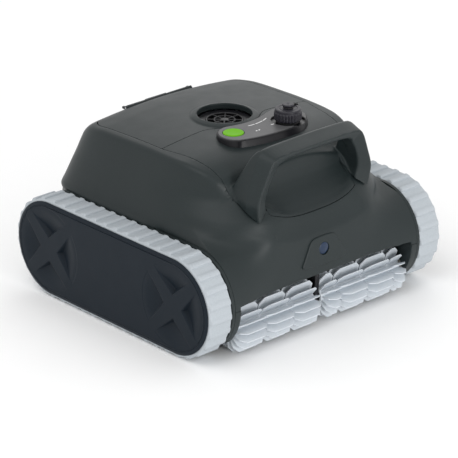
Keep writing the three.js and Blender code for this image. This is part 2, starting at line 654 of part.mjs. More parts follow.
// ---------------------------------------------------------------- filter
function filterBasket() {
  const { x, y0, y1, z0, z1, wall } = BASKET;
  const shell = box(-x, x, y0, y1, z0, z1)
    .subtract(box(-x + wall, x - wall, y0 + wall, y1 - wall, z0 + wall, z1 + 5));
  const windows = [-78, -26, 26, 78].map((cx) => box(cx - 21, cx + 21, y0 - 5, y1 + 5, z0 + 14, z1 - 18));
  const ends = box(-x - 5, x + 5, y0 + 14, y1 - 14, z0 + 14, z1 - 18);
  const throat = box(-64, 64, 58, 98, z0 - 5, z0 + 5);
  return [...windows, ends, throat].reduce((body, cut) => body.subtract(cut), shell);
}
add('filter_basket', filterBasket(), NYLON);
const meshInset = BASKET.wall + 0.4;
const filterMesh = box(
  -BASKET.x + meshInset, BASKET.x - meshInset, BASKET.y0 + meshInset, BASKET.y1 - meshInset, 52, 226,
).subtract(box(
  -BASKET.x + meshInset + 1.2, BASKET.x - meshInset - 1.2,
  BASKET.y0 + meshInset + 1.2, BASKET.y1 - meshInset - 1.2, 40, 240,
));
add('filter_mesh', filterMesh, MESH_WHITE);

for (const [side, s] of [['left', -1], ['right', 1]]) {
  const [a, b] = [Math.min(s * 2.4, s * (INLET.x + 2)), Math.max(s * 2.4, s * (INLET.x + 2))];
  const plate = box(a, b, INLET.y0 - 2.5, FLAP.hinge, FLAP.z - 1.5, FLAP.z)
    .add(cylinderX(FLAP.r, a, b, FLAP.hinge, FLAP.z, 12));
  add(`${side}_inlet_flap`, plate, BLACK_RUBBER);
}
const lip = box(-INLET.x - 7, INLET.x + 7, INLET.y0 - 7, INLET.y1 + 7, 13, FLOOR_Z - GAP)
  .subtract(box(-INLET.x, INLET.x, INLET.y0, INLET.y1, 0, 40));
add('intake_lip', lip, BLACK_RUBBER);

// ---------------------------------------------------------------- brush support
const bracket = prismX([
  [BRUSH.y - 9, 26], [BRUSH.y + 9, 26], [BRUSH.y + 11, 60], [BRUSH.y + 11, 78.6],
  [BRUSH.y - 11, 78.6], [BRUSH.y - 11, 60],
], -4, 4).subtract(cylinderX(6.6, -5, 5, BRUSH.y, BRUSH.z, 20));
add('brush_centre_bracket', bracket, DARK);

// ---------------------------------------------------------------- running gear, each side
function gearBlank(teeth, s, y, z, phase) {
  const pitchRadius = GEAR.module * teeth / 2;
  const toothAngle = 2 * Math.PI / teeth;
  const profile = [
    [-0.3, pitchRadius - 1.2 * GEAR.module],
    [-0.115, pitchRadius + 0.9 * GEAR.module],
    [0.115, pitchRadius + 0.9 * GEAR.module],
    [0.3, pitchRadius - 1.2 * GEAR.module],
  ];
  const outline = [];
  for (let i = 0; i < teeth; i++) {
    for (const [step, r] of profile) {
      const angle = (i + step) * toothAngle + phase;
      outline.push([y + r * Math.cos(angle), z + r * Math.sin(angle)]);
    }
  }
  return prismX(outline, s * GEAR.x0, s * GEAR.x1);
}

// The phase that puts a gap of the mating gear where the drive gear has a tooth.
function meshPhase(teeth, y, z) {
  const toDrive = Math.atan2(AXLE_Z - z, -AXLE_Y - y);
  const driveTooth = 2 * Math.PI / GEAR.drive;
  const offset = (toDrive + Math.PI) / driveTooth;
  const fraction = offset - Math.floor(offset);
  return toDrive + (0.5 + fraction) * 2 * Math.PI / teeth;
}

function wheel(s, y) {
  const profile = [
    [8.4, 184], [60.5, 185], [60.5, 181], [65.2, 181], [65.2, 209], [60.5, 209], [60.5, 205],
    [8.4, 206], [8.4, 184],
  ];
  return latheX(profile.map(([r, x]) => [r, s * x]), y, AXLE_Z, 22);
}

function trackBelt(s) {
  const outline = [];
  const total = 4 * AXLE_Y + 2 * Math.PI * TRACK.tip;
  const pitch = total / TRACK.treads;
  for (let i = 0; i < TRACK.treads; i++) {
    for (const [step, r] of [[0, TRACK.root], [0.16, TRACK.tip], [0.9, TRACK.tip]]) {
      outline.push(stadiumPoint(r, (i + step) * pitch, TRACK.tip));
    }
  }
  return prismX(outline, s * TRACK.x0, s * TRACK.x1)
    .subtract(prismX(stadium(TRACK.inner, 20), s * 170, s * 230));
}

// The outer cover has a round dish over each wheel, with a raised X between four pits.
function sideCover(s) {
  const face = s * WIDTH / 2;
  const pits = [];
  for (const centre of [-AXLE_Y, AXLE_Y]) {
    for (let quarter = 0; quarter < 4; quarter++) {
      const out = quarter * Math.PI / 2;
      const at = (r, angle) => [centre + r * Math.cos(angle), AXLE_Z + r * Math.sin(angle)];
      const outline = [
        at(19, out), at(54, out - 0.64), at(57, out - 0.32),
        at(58, out), at(57, out + 0.32), at(54, out + 0.64),
      ];
      pits.push(prismX(outline, s * (WIDTH / 2 - COVER.depth), s * 225));
    }
  }
  const pads = [-AXLE_Y, AXLE_Y].map((y) =>
    cylinderX(COVER.dish + 2, s * 212, s * (COVER.x0 + 0.2), y, AXLE_Z, 28));
  const posts = [-38, 38].map((y) =>
    cylinderX(9, s * (FRAME.x1 + GAP), s * (COVER.x0 + 0.2), y, AXLE_Z, 16));
  const plate = prismX(stadium(COVER.radius, 16), s * COVER.x0, face);
  return joined([plate, ...pads, ...posts]).subtract(joined(pits));
}

// A brush half: rows of flat flaps round a sleeve, every second row shifted half a flap.
function brushFlaps(s) {
  const pitch = (BRUSH.x1 - BRUSH.x0) / BRUSH.columns;
  const sleeve = cylinderX(BRUSH.core, s * BRUSH.x0, s * BRUSH.x1, BRUSH.y, BRUSH.z, 12)
    .translate([0, -BRUSH.y, -BRUSH.z]).rotate([15, 0, 0]).translate([0, BRUSH.y, BRUSH.z]);
  const flaps = [];
  for (let row = 0; row < BRUSH.rows; row++) {
    const shifted = row % 2 === 1;
    const edges = shifted ? [0, 0.5, 1.5, 2.5, 3] : [0, 1, 2, 3];
    for (let i = 1; i < edges.length; i++) {
      const x0 = BRUSH.x0 + edges[i - 1] * pitch + 1;
      const x1 = BRUSH.x0 + edges[i] * pitch - 1;
      const root = BRUSH.core - 1.5;
      const outline = [[x0, root], [x1, root], [x1, BRUSH.tip], [x0, BRUSH.tip]];
      const flap = solid(extrude(outline.map(([x, r]) => [s * x, r]), 2.6).translate(0, 0, -1.3));
      flaps.push(flap.rotate([360 * row / BRUSH.rows + 90, 0, 0]).translate([0, BRUSH.y, BRUSH.z]));
    }
  }
  return joined([sleeve, ...flaps])
    .subtract(cylinderX(9.9, s * (BRUSH.x0 - 1), s * (BRUSH.x1 + 1), BRUSH.y, BRUSH.z, 20));
}

for (const [side, s] of [['left', -1], ['right', 1]]) {
  add(`${side}_track`, trackBelt(s), TRACK_RUBBER);
  add(`${side}_side_cover`, sideCover(s), COVER_GREY);

  const frame = prismX(stadium(FRAME.radius), s * FRAME.x0, s * FRAME.x1)
    .subtract(cylinderX(13.8, s * 170, s * 180, -AXLE_Y, AXLE_Z, 24))
    .subtract(cylinderX(6.5, s * 170, s * 175.6, BRUSH.y, BRUSH.z, 16))
    .subtract(cylinderX(3.4, s * 170, s * 175.6, MOTOR.y, MOTOR.z, 12));
  add(`${side}_side_frame`, frame, SHELL);

  const bearing = latheX([
    [8.35, s * 172.6], [13.4, s * 172.6], [13.4, s * 177.2], [8.35, s * 177.2], [8.35, s * 172.6],
  ], -AXLE_Y, AXLE_Z, 20);
  add(`${side}_drive_bearing`, bearing, STEEL);

  add(`${side}_front_wheel`, wheel(s, -AXLE_Y), DARK);
  add(`${side}_rear_wheel`, wheel(s, AXLE_Y), DARK);
  const driveShaft = cylinderX(SHAFT_R, s * 164.2, s * 207, -AXLE_Y, AXLE_Z, 20)
    .add(cylinderX(12, s * 206.4, s * 209, -AXLE_Y, AXLE_Z, 20));
  add(`${side}_drive_shaft`, driveShaft, STEEL);
  const rearAxle = cylinderX(SHAFT_R, s * (FRAME.x1 + GAP), s * 207, AXLE_Y, AXLE_Z, 20)
    .add(cylinderX(12, s * 206.4, s * 209, AXLE_Y, AXLE_Z, 20));
  add(`${side}_rear_axle`, rearAxle, STEEL);

  const driveGear = gearBlank(GEAR.drive, s, -AXLE_Y, AXLE_Z, 0)
    .subtract(cylinderX(SHAFT_R + 0.35, s * 160, s * 175, -AXLE_Y, AXLE_Z, 20));
  add(`${side}_drive_gear`, driveGear, NYLON);

  const brushPinion = gearBlank(GEAR.brush, s, BRUSH.y, BRUSH.z, meshPhase(GEAR.brush, BRUSH.y, BRUSH.z))
    .subtract(cylinderX(6.3, s * 160, s * 175, BRUSH.y, BRUSH.z, 16));
  add(`${side}_brush_pinion`, brushPinion, NYLON);
  const core = cylinderX(6, s * 1.2, s * 175.2, BRUSH.y, BRUSH.z, 16)
    .add(cylinderX(9.5, s * BRUSH.x0, s * BRUSH.x1, BRUSH.y, BRUSH.z, 20));
  add(`${side}_brush_core`, core, DARK);
  add(`${side}_brush_flaps`, brushFlaps(s), TRACK_RUBBER);

  add(`${side}_drive_motor`, cylinderX(MOTOR.r, s * 66, s * 158, MOTOR.y, MOTOR.z, 24), STEEL);
  const motorPinion = gearBlank(GEAR.motor, s, MOTOR.y, MOTOR.z, meshPhase(GEAR.motor, MOTOR.y, MOTOR.z))
    .add(cylinderX(3, s * 158.4, s * 175.2, MOTOR.y, MOTOR.z, 12));
  add(`${side}_motor_pinion`, motorPinion, NYLON);
}

export default cleaner;
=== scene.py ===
"""Pool cleaner: the surfaces, details and materials of a cordless tracked robot, around its CAD frame.

Shapes are worked out in millimetres, in the frame of the CAD model, and become meshes in metres.
The casings are cut from one smooth body, given as a signed distance: negative inside the material.
"""
import json
import math

import bmesh
import bpy
import numpy as np
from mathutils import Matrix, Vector


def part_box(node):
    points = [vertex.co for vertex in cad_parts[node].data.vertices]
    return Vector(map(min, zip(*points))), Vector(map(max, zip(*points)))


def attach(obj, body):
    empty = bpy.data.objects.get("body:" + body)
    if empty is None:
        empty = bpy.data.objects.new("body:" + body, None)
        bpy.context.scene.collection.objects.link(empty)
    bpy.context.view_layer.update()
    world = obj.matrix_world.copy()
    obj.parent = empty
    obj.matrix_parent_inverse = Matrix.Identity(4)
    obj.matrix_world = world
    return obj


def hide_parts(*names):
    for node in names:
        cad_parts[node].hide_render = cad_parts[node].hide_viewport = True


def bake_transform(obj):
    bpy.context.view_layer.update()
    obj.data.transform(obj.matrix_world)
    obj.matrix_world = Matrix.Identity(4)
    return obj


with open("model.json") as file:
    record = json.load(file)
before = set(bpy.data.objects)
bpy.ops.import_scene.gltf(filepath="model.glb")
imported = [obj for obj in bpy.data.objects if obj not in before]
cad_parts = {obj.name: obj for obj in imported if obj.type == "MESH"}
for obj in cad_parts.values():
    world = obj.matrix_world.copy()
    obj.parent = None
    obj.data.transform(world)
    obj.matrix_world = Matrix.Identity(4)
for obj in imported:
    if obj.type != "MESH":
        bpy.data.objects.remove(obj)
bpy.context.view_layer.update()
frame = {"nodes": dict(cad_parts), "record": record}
MM = 0.001
SIDES = (("left", -1), ("right", 1))


def cad_box(node):
    """Lowest and highest corner of a CAD node in millimetres."""
    low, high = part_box(node)
    return [v / MM for v in low], [v / MM for v in high]


def cad_centre(node):
    low, high = cad_box(node)
    return [(a + b) / 2 for a, b in zip(low, high)]


# ------------------------------------------------------------------ driving dimensions
AXLE_Y, AXLE_Z = 129.5, 74.7
TRACK_TIP, TRACK_ROOT, TRACK_INNER = 74.7, 71.3, 66.0
TRACK_LOW, TREADS = 178.2, 45
FRAME_RADIUS = 72.5
COVER_LOW, COVER_FACE, COVER_RADIUS = 217.7, 220.0, 70.0
BODY_HALF, NOSE_FLAT, NOSE_BLEND = 172.0, 84.0, (138.0, 168.0)
WALL, SEAM = 4.6, 0.3
ARCH_END = 0.87
FLOOR_Z, SPLIT_Z, SHOULDER_Z = 24.0, 75.0, 147.6
BRUSH_Y, BRUSH_Z = -169.0, 35.2
BRUSH_LOW, BRUSH_HIGH, BRUSH_TIP, BRUSH_CORE = 6.0, 159.0, 34.7, 13.0
BAY_RADIUS, BAY_HALF, BAY_LIP = 45.0, 161.4, 80.0
OUTLET_Y, OUTLET_HOLE = 8.0, 38.4
HINGE_Y, HINGE_Z, HINGE_HALF = 147.0, 238.6, 62.0
LID_FRONT, LID_REAR, LID_HALF, LID_CORNER, LID_RING = -12.5, 143.4, 134.0, 34.0, 47.0
PLATE_SEAT, POCKET_FLOOR = 253.6, 253.2
BUTTON_BORE, SOCKET_BORE = 15.0, 15.6
BUTTON_X, BUTTON_Y, _ = cad_centre("power_button")
CAP_X, CAP_Y, _ = cad_centre("charge_cap")
SENSOR_Z, SENSOR_PROUD = 115.0, 2.2


# ------------------------------------------------------------------ curves and fields
def curve(pairs, at):
    """A smooth curve without overshoot through (position, value) pairs, flat beyond its ends."""
    place = np.array([p for p, _ in pairs], float)
    value = np.array([v for _, v in pairs], float)
    step = np.diff(place)
    slope = np.diff(value) / step
    tangent = np.zeros(len(place))
    tangent[0], tangent[-1] = slope[0], slope[-1]
    for i in range(1, len(place) - 1):
        a, b = slope[i - 1], slope[i]
        if a * b > 0:
            wa, wb = 2 * step[i] + step[i - 1], step[i] + 2 * step[i - 1]
            tangent[i] = (wa + wb) / (wa / a + wb / b)
    at = np.clip(at, place[0], place[-1])
    i = np.clip(np.searchsorted(place, at, side="right") - 1, 0, len(step) - 1)
    u = (at - place[i]) / step[i]
    return (
        value[i] * (1 + 2 * u) * (1 - u) ** 2
        + tangent[i] * step[i] * u * (1 - u) ** 2
        + value[i + 1] * u**2 * (3 - 2 * u)
        + tangent[i + 1] * step[i] * u**2 * (u - 1)
    )


def smooth_max(a, b, radius):
    h = np.clip(0.5 + 0.5 * (a - b) / radius, 0, 1)
    return a * h + b * (1 - h) + radius * h * (1 - h)


def smooth_min(a, b, radius):
    return -smooth_max(-a, -b, radius)


def ramp(t, low, high):
    u = np.clip((t - low) / (high - low), 0, 1)
    return u * u * (3 - 2 * u)


def polygon(u, v, points):
    """Signed distance to a closed polygon, negative inside."""
    nearest = np.full(np.broadcast(u, v).shape, 1e9)
    inside = np.zeros(nearest.shape, bool)
    for (au, av), (bu, bv) in zip(points, points[1:] + points[:1]):
        du, dv = bu - au, bv - av
        t = np.clip(((u - au) * du + (v - av) * dv) / (du * du + dv * dv), 0, 1)
        nearest = np.minimum(nearest, (u - au - t * du) ** 2 + (v - av - t * dv) ** 2)
        if av != bv:
            crosses = (av > v) != (bv > v)
            inside ^= crosses & (u < au + (v - av) * du / dv)
    return np.where(inside, -1, 1) * np.sqrt(nearest)


def block(x, y, z, low, high):
    """Distance to a box with the given corners."""
    d = None
    for c, a, b in zip((x, y, z), low, high):
        one = np.abs(c - (a + b) / 2) - (b - a) / 2
        d = one if d is None else np.maximum(d, one)
    return d


def rod(a, b, along, centre, radius, low, high):
    """Distance to a cylinder round centre in the plane (a, b), from low to high along its axis."""
    across = np.hypot(a - centre[0], b - centre[1]) - radius
    return np.maximum(across, np.abs(along - (low + high) / 2) - (high - low) / 2)


# ------------------------------------------------------------------ the body
HALF_WIDTH = [
    (75, 172), (136, 172), (147, 177), (156, 174), (165, 171), (180, 166), (195, 161),
    (210, 156.5), (225, 152), (242, 147), (262, 144),
]
REAR_REACH = [
    (75, 202), (110, 200), (133, 197), (165, 186), (195, 175), (220, 166), (240, 156), (262, 150),
]
FRONT_REACH = [
    (75, 195), (110, 191), (140, 188), (156, 186), (174, 184), (188, 174), (203, 163), (262, 158),
]
FRONT_POWER = [
    (75, 5), (138, 4.2), (150, 3.5), (165, 3.15), (203, 2.5), (234, 2.85), (262, 3),
]
REAR_POWER = 6.5
RIDGE = [
    (-200, 128), (-192, 141), (-186, 157), (-173, 178), (-165, 190), (-150, 210), (-135, 230),
    (-125, 236), (-110, 242), (-80, 248), (-50, 250.5), (8, 252), (60, 251), (100, 249.5),
    (120, 247), (134, 244.5), (142, 241.5), (150, 237), (158, 230.5), (166, 221.5), (215, 200),
]
SIDE_FALL = [
    (-200, 0), (-173, 0.0003), (-165, 0.0009), (-150, 0.0018), (-130, 0.00235), (-113, 0.00113),
    (-93, 0.00064), (-60, 0.00046), (200, 0.00046),
]
NOSE_CHAMFER = [(75, 292), (140, 292), (152, 295), (160, 306), (172, 332)]
SCOOP = [
    (136, -190), (141, -186), (152, -180.5), (165, -175), (174.5, -165), (185, -154), (196, -144),
    (205, -138.5), (216, -136), (330, -136),
]
SCOOP_HEIGHTS = np.arange(136, 222, 2.0)
RECESS = [(-240, 136)] + list(zip(curve(SCOOP, SCOOP_HEIGHTS), SCOOP_HEIGHTS)) + [
    (-136, 320), (-240, 320),
]
RECESS_RISE = [(-200, 8), (-186, 8), (-174, 17), (-165, 13), (-155, 7), (-147, 3.5), (-137, 0)]
RECESS_HALF = 80.0


def walls(x, y, z):
    """The side walls: at each height a squared ellipse, rounder towards the front."""
    def at(height):
        front = y < 0
        reach = np.where(front, curve(FRONT_REACH, height), curve(REAR_REACH, height))
        return curve(HALF_WIDTH, height), reach

    half, reach = at(z)
    half_up, reach_up = at(z + 1)
    power = np.where(y < 0, curve(FRONT_POWER, z), REAR_POWER)
    u, v = np.abs(x) / half, np.abs(y) / reach
    biggest = np.maximum(np.maximum(u, v), 1e-3)
    norm = biggest * ((u / biggest) ** power + (v / biggest) ** power) ** (1 / power)
    gu = (u / norm) ** (power - 1)
    gv = (v / norm) ** (power - 1)
    gradient = np.hypot(gu / half, gv / reach)
    lean = (gu * u * (half_up - half) / half + gv * v * (reach_up - reach) / reach) / gradient
    side = (norm - 1) / gradient / np.sqrt(1 + lean**2)
    chamfer = (np.abs(x) + np.abs(y) - curve(NOSE_CHAMFER, z)) / math.sqrt(2)
    return np.where(y < 0, smooth_max(side, chamfer, 16), side)


def top_height(x, y):
    return curve(RIDGE, y) - curve(SIDE_FALL, y) * x * x


def dome(x, y, z):
    height = top_height(x, y)
    slope_y = top_height(x, y + 0.5) - top_height(x, y - 0.5)
    slope_x = 2 * curve(SIDE_FALL, y) * x
    return (z - height) / np.sqrt(1 + slope_x**2 + slope_y**2)


def stadium(y, z, radius):
    return np.hypot(np.maximum(np.abs(y) - AXLE_Y, 0), z - AXLE_Z) - radius


def nose_reach(x, z):
    """How far forward the nose reaches: its profile in the middle, the wheel arch at its ends."""
    rise = (z - AXLE_Z) / FRAME_RADIUS
    held = np.clip(rise, -ARCH_END, ARCH_END)
    arch = AXLE_Y + FRAME_RADIUS * np.sqrt(1 - held**2)
    fall = ARCH_END / math.sqrt(1 - ARCH_END**2)
    arch = arch - np.clip(rise - ARCH_END, 0, 0.4) * FRAME_RADIUS * fall
    share = ramp(np.abs(x), NOSE_FLAT, BODY_HALF + 4)
    return curve(FRONT_REACH, z) * (1 - share) + arch * share


def nose(x, y, z):
    reach = nose_reach(x, z)
    slope_x = (nose_reach(x + 3, z) - nose_reach(x - 3, z)) / 6
    slope_z = (nose_reach(x, z + 4) - nose_reach(x, z - 4)) / 8
    return (-y - reach) / np.sqrt(1 + slope_x**2 + slope_z**2)


def recess(x, y, z):
    """The scoop for the fingers under the handle."""
    rise = curve(RECESS_RISE, y) * np.minimum(np.abs(x) / 79, 1.05) ** 3
    return np.maximum(polygon(y, z - rise, RECESS), np.abs(x) - RECESS_HALF)


def brush_bay(x, y, z):
    room = np.hypot(y - BRUSH_Y, z - BRUSH_Z) - BAY_RADIUS
    mouth = np.maximum(y - BRUSH_Y, z - BAY_LIP)
    return np.maximum(np.minimum(room, mouth), np.abs(x) - BAY_HALF)


def body(x, y, z):
    """The whole outside form of the robot's body."""
    wall = walls(x, y, z)
    low = np.maximum(nose(x, y, z), np.abs(x) - BODY_HALF)
    share = ramp(z, NOSE_BLEND[0], NOSE_BLEND[1])
    front = low * (1 - share) + wall * share
    upper = wall + (front - wall) * ramp(-y, 20, 60)
    form = np.where(z < SPLIT_Z, stadium(y, z, FRAME_RADIUS), upper)
    form = np.maximum(form, np.where(z < SHOULDER_Z, np.abs(x) - BODY_HALF, -99))
    form = smooth_max(form, dome(x, y, z), 6)
    form = np.maximum(form, FLOOR_Z - z)
    form = smooth_max(form, -brush_bay(x, y, z), 2)
    return smooth_max(form, -recess(x, y, z), 3)


def shell(x, y, z):
    d = body(x, y, z)
    return np.maximum(d, -(d + WALL))


def smooth_loop(points, steps=6):
    """A closed smooth curve through the points."""
    points = np.array(points, float)
    before, after, beyond = (np.roll(points, k, axis=0) for k in (1, -1, -2))
    out = []
    for t in np.arange(steps) / steps:
        out.append(0.5 * (
            2 * points + (after - before) * t
            + (2 * before - 5 * points + 4 * after - beyond) * t**2
            + (3 * points - before - 3 * after + beyond) * t**3
        ))
    return [tuple(p) for p in np.stack(out, 1).reshape(-1, 2)]


# ------------------------------------------------------------------ where the casings part
SIDE_SEAM = [(-131, 110), (-125, 114), (-105, 119), (-80, 123), (-50, 127), (-15, 134)]
HANDLE_RIM = smooth_loop([
    (-60, 160), (100, 160), (106.8, 174), (110, 188), (111.5, 201), (109, 214), (103, 230),
    (97, 246), (92, 257), (87, 264), (79, 268.5), (60, 271), (30, 272.3), (0, 272.6), (-60, 272.6),
], 3)
HANDLE_HOLE = smooth_loop([
    (-60, 150), (80, 150), (83, 186), (86, 201), (84, 216), (78, 232), (71, 244), (65, 251),
    (54, 255), (30, 256.2), (0, 256.5), (-60, 256.5),
], 3)
HANDLE_SIDE = [
    (-160, 150), (-173, 174), (-181.3, 266), (-176, 268), (-165, 271), (-157, 273.5),
    (-150, 270.5), (-143, 258), (-134, 236), (-118, 200),
]
HANDLE_TAPER, HANDLE_BACK = 0.28, -150.0


def foot_height(x, y):
    """Lower edge of the front shell: the V under each leg, and the seam across the scoop."""
    ax = np.abs(x)
    under_leg = 203 + 0.674 * (y + 130) + 0.43 * np.clip(101 - ax, 0, 21)
    in_scoop = 165 + 16 * np.minimum(ax / 79, 1) ** 3 - 0.6 * (y + 173.5)
    foot = np.where(ax < RECESS_HALF, in_scoop, under_leg)
    return np.where(y > -131, 188, foot)


def front_region(x, y, z):
    beside = np.where(y > -131, np.abs(x) - curve(SIDE_SEAM, y), np.abs(x) - 122)
    below = (foot_height(x, y) - z) * 0.83
    return np.maximum(np.maximum(beside, below), y - LID_FRONT)


def lid_region(x, y, z):
    ax = np.abs(x)
    corner = np.hypot(
        np.maximum(ax - (LID_HALF - LID_CORNER), 0), np.maximum(y - (LID_REAR - LID_CORNER), 0)
    ) - LID_CORNER
    plan = np.maximum(corner, LID_FRONT - y)
    bulge = np.hypot(x, y - OUTLET_Y) - LID_RING
    return np.maximum(smooth_min(plan, bulge, 22), 214 - z)


def handle(x, y, z):
    """The hooped handle: tapered towards its front rim, with a slanted front face."""
    ax = np.abs(x)
    outline = polygon(ax, z, HANDLE_RIM) + HANDLE_TAPER * np.maximum(-156 - y, 0)
    form = smooth_max(outline, polygon(y, z, HANDLE_SIDE), 4)
    rim = -173 - 8 * (z - 174) / 91
    at_rim = polygon(ax, z, HANDLE_RIM) + HANDLE_TAPER * (-156 - rim)
    face = rim + 0.4 * np.clip(-at_rim, 0, 30) - y
    form = smooth_max(form, face, 1.6)
    form = smooth_max(form, -polygon(ax, z, HANDLE_HOLE), 3)
    behind = np.maximum(np.maximum(ax - RECESS_HALF, HANDLE_BACK - y), 190 - z)
    return smooth_max(form, -behind, 4)


def gear_rooms(x, y, z):
    """Room in the side walls for the gears, with the places of the CAD gears."""
    ax = np.abs(x)
    rooms = 99.0
    for node, low in (("drive_gear", 164.2), ("brush_pinion", 160), ("motor_pinion", 158)):
        (_, y0, z0), (_, y1, z1) = cad_box("right_" + node)
        centre = ((y0 + y1) / 2, (z0 + z1) / 2)
        rooms = np.minimum(rooms, rod(y, z, ax, centre, (z1 - z0) / 2 + 1.2, low, 173))
    return rooms


def hinge_part(x, y, z, spans, reach):
    """Hinge barrels on the spans along X, with webs that reach forward or back."""
    barrel = np.hypot(y - HINGE_Y, z - HINGE_Z) - 3.0
    low, high = min(0, reach), max(0, reach)
    web = np.maximum(
        np.maximum(HINGE_Y + low - y, y - HINGE_Y - high), np.abs(z - HINGE_Z + 0.7) - 1.5
    )
    part = np.minimum(barrel, web)
    along = 99.0
    for a, b in spans:
        along = np.minimum(along, np.abs(x - (a + b) / 2) - (b - a) / 2)
    part = np.maximum(part, along)
    return np.maximum(part, 1.7 - np.hypot(y - HINGE_Y, z - HINGE_Z))


def hinge_room(x, y, z):
    return rod(y, z, x, (HINGE_Y, HINGE_Z), 3.7, -HINGE_HALF - 0.6, HINGE_HALF + 0.6)


LID_BARRELS = [(-58, -20), (20, 58)]
BODY_BARRELS = [(-62, -58.4), (-19.6, 19.6), (58.4, 62)]


def tray_field(x, y, z):
    d = np.maximum(shell(x, y, z), z - (SPLIT_Z - 0.25))
    for s in (-1, 1):
        (_, y0, z0), (_, y1, z1) = cad_box("right_drive_motor")
        centre = ((y0 + y1) / 2, (z0 + z1) / 2)
        saddle = block(s * x, y, z, (92, y0 + 3, FLOOR_Z + 1), (120, y1 - 3, centre[1] - 6))
        saddle = np.maximum(saddle, 21.4 - np.hypot(y - centre[0], z - centre[1]))
        rail = block(s * x, y, z, (98, 50, FLOOR_Z + 1), (102, 108, 45.6))
        d = np.minimum(d, np.minimum(saddle, rail))
        d = smooth_max(d, -block(s * x, y, z, (1.5, 62, 0), (60, 92, 40)), 1)
    return np.maximum(d, -gear_rooms(x, y, z))


def housing_field(x, y, z):
    d = np.maximum(shell(x, y, z), SPLIT_Z + 0.25 - z)
    d = smooth_max(d, SEAM - front_region(x, y, z), 0.6)
    lid = lid_region(x, y - np.where(y > 60, 1.0, 0.0), z)
    d = smooth_max(d, SEAM - lid, 0.6)
    handle_room = np.where(z < foot_height(x, y) - 1, 99, handle(x, y, z) - 2 * SEAM)
    d = np.maximum(d, -handle_room)
    brow = block(x, y, z, (-HINGE_HALF, 145, 236), (HINGE_HALF, 156, 262))
    brow = smooth_max(brow, z - top_height(x, y) - 0.4, 2)
    d = np.minimum(d, np.maximum(brow, top_height(x, y) - 2.5 - z))
    d = np.maximum(d, -gear_rooms(x, y, z))
    d = np.maximum(d, -hinge_room(x, y, z))
    return np.minimum(d, hinge_part(x, y, z, BODY_BARRELS, 7))


def front_field(x, y, z):
    casing = smooth_max(shell(x, y, z), front_region(x, y, z) + SEAM, 0.6)
    casing = smooth_max(casing, SEAM - lid_region(x, y, z), 0.6)
    grip = smooth_max(handle(x, y, z), (foot_height(x, y) + SEAM - z) * 0.83, 0.8)
    joined = smooth_min(casing, grip, 5)
    joined = np.maximum(joined, -rod(x, y, z, (CAP_X, CAP_Y), 18, 225, 265))
    return np.maximum(joined, -rod(x, y, z, (BUTTON_X, BUTTON_Y), 15, 225, 265))


def lid_field(x, y, z):
    d = smooth_max(shell(x, y, z), lid_region(x, y, z) + SEAM, 0.6)
    away = np.hypot(x, y - OUTLET_Y)
    ring = (z - 255.2 + 0.36 * (away - OUTLET_HOLE)) * 0.94
    ring = np.maximum(smooth_max(ring, away - 46.4, 2), 246 - z)
    d = smooth_min(d, ring, 3)
    d = smooth_max(d, OUTLET_HOLE - away, 2.2)
    d = np.maximum(d, -hinge_room(x, y, z))
    return np.minimum(d, hinge_part(x, y, z, LID_BARRELS, -7))


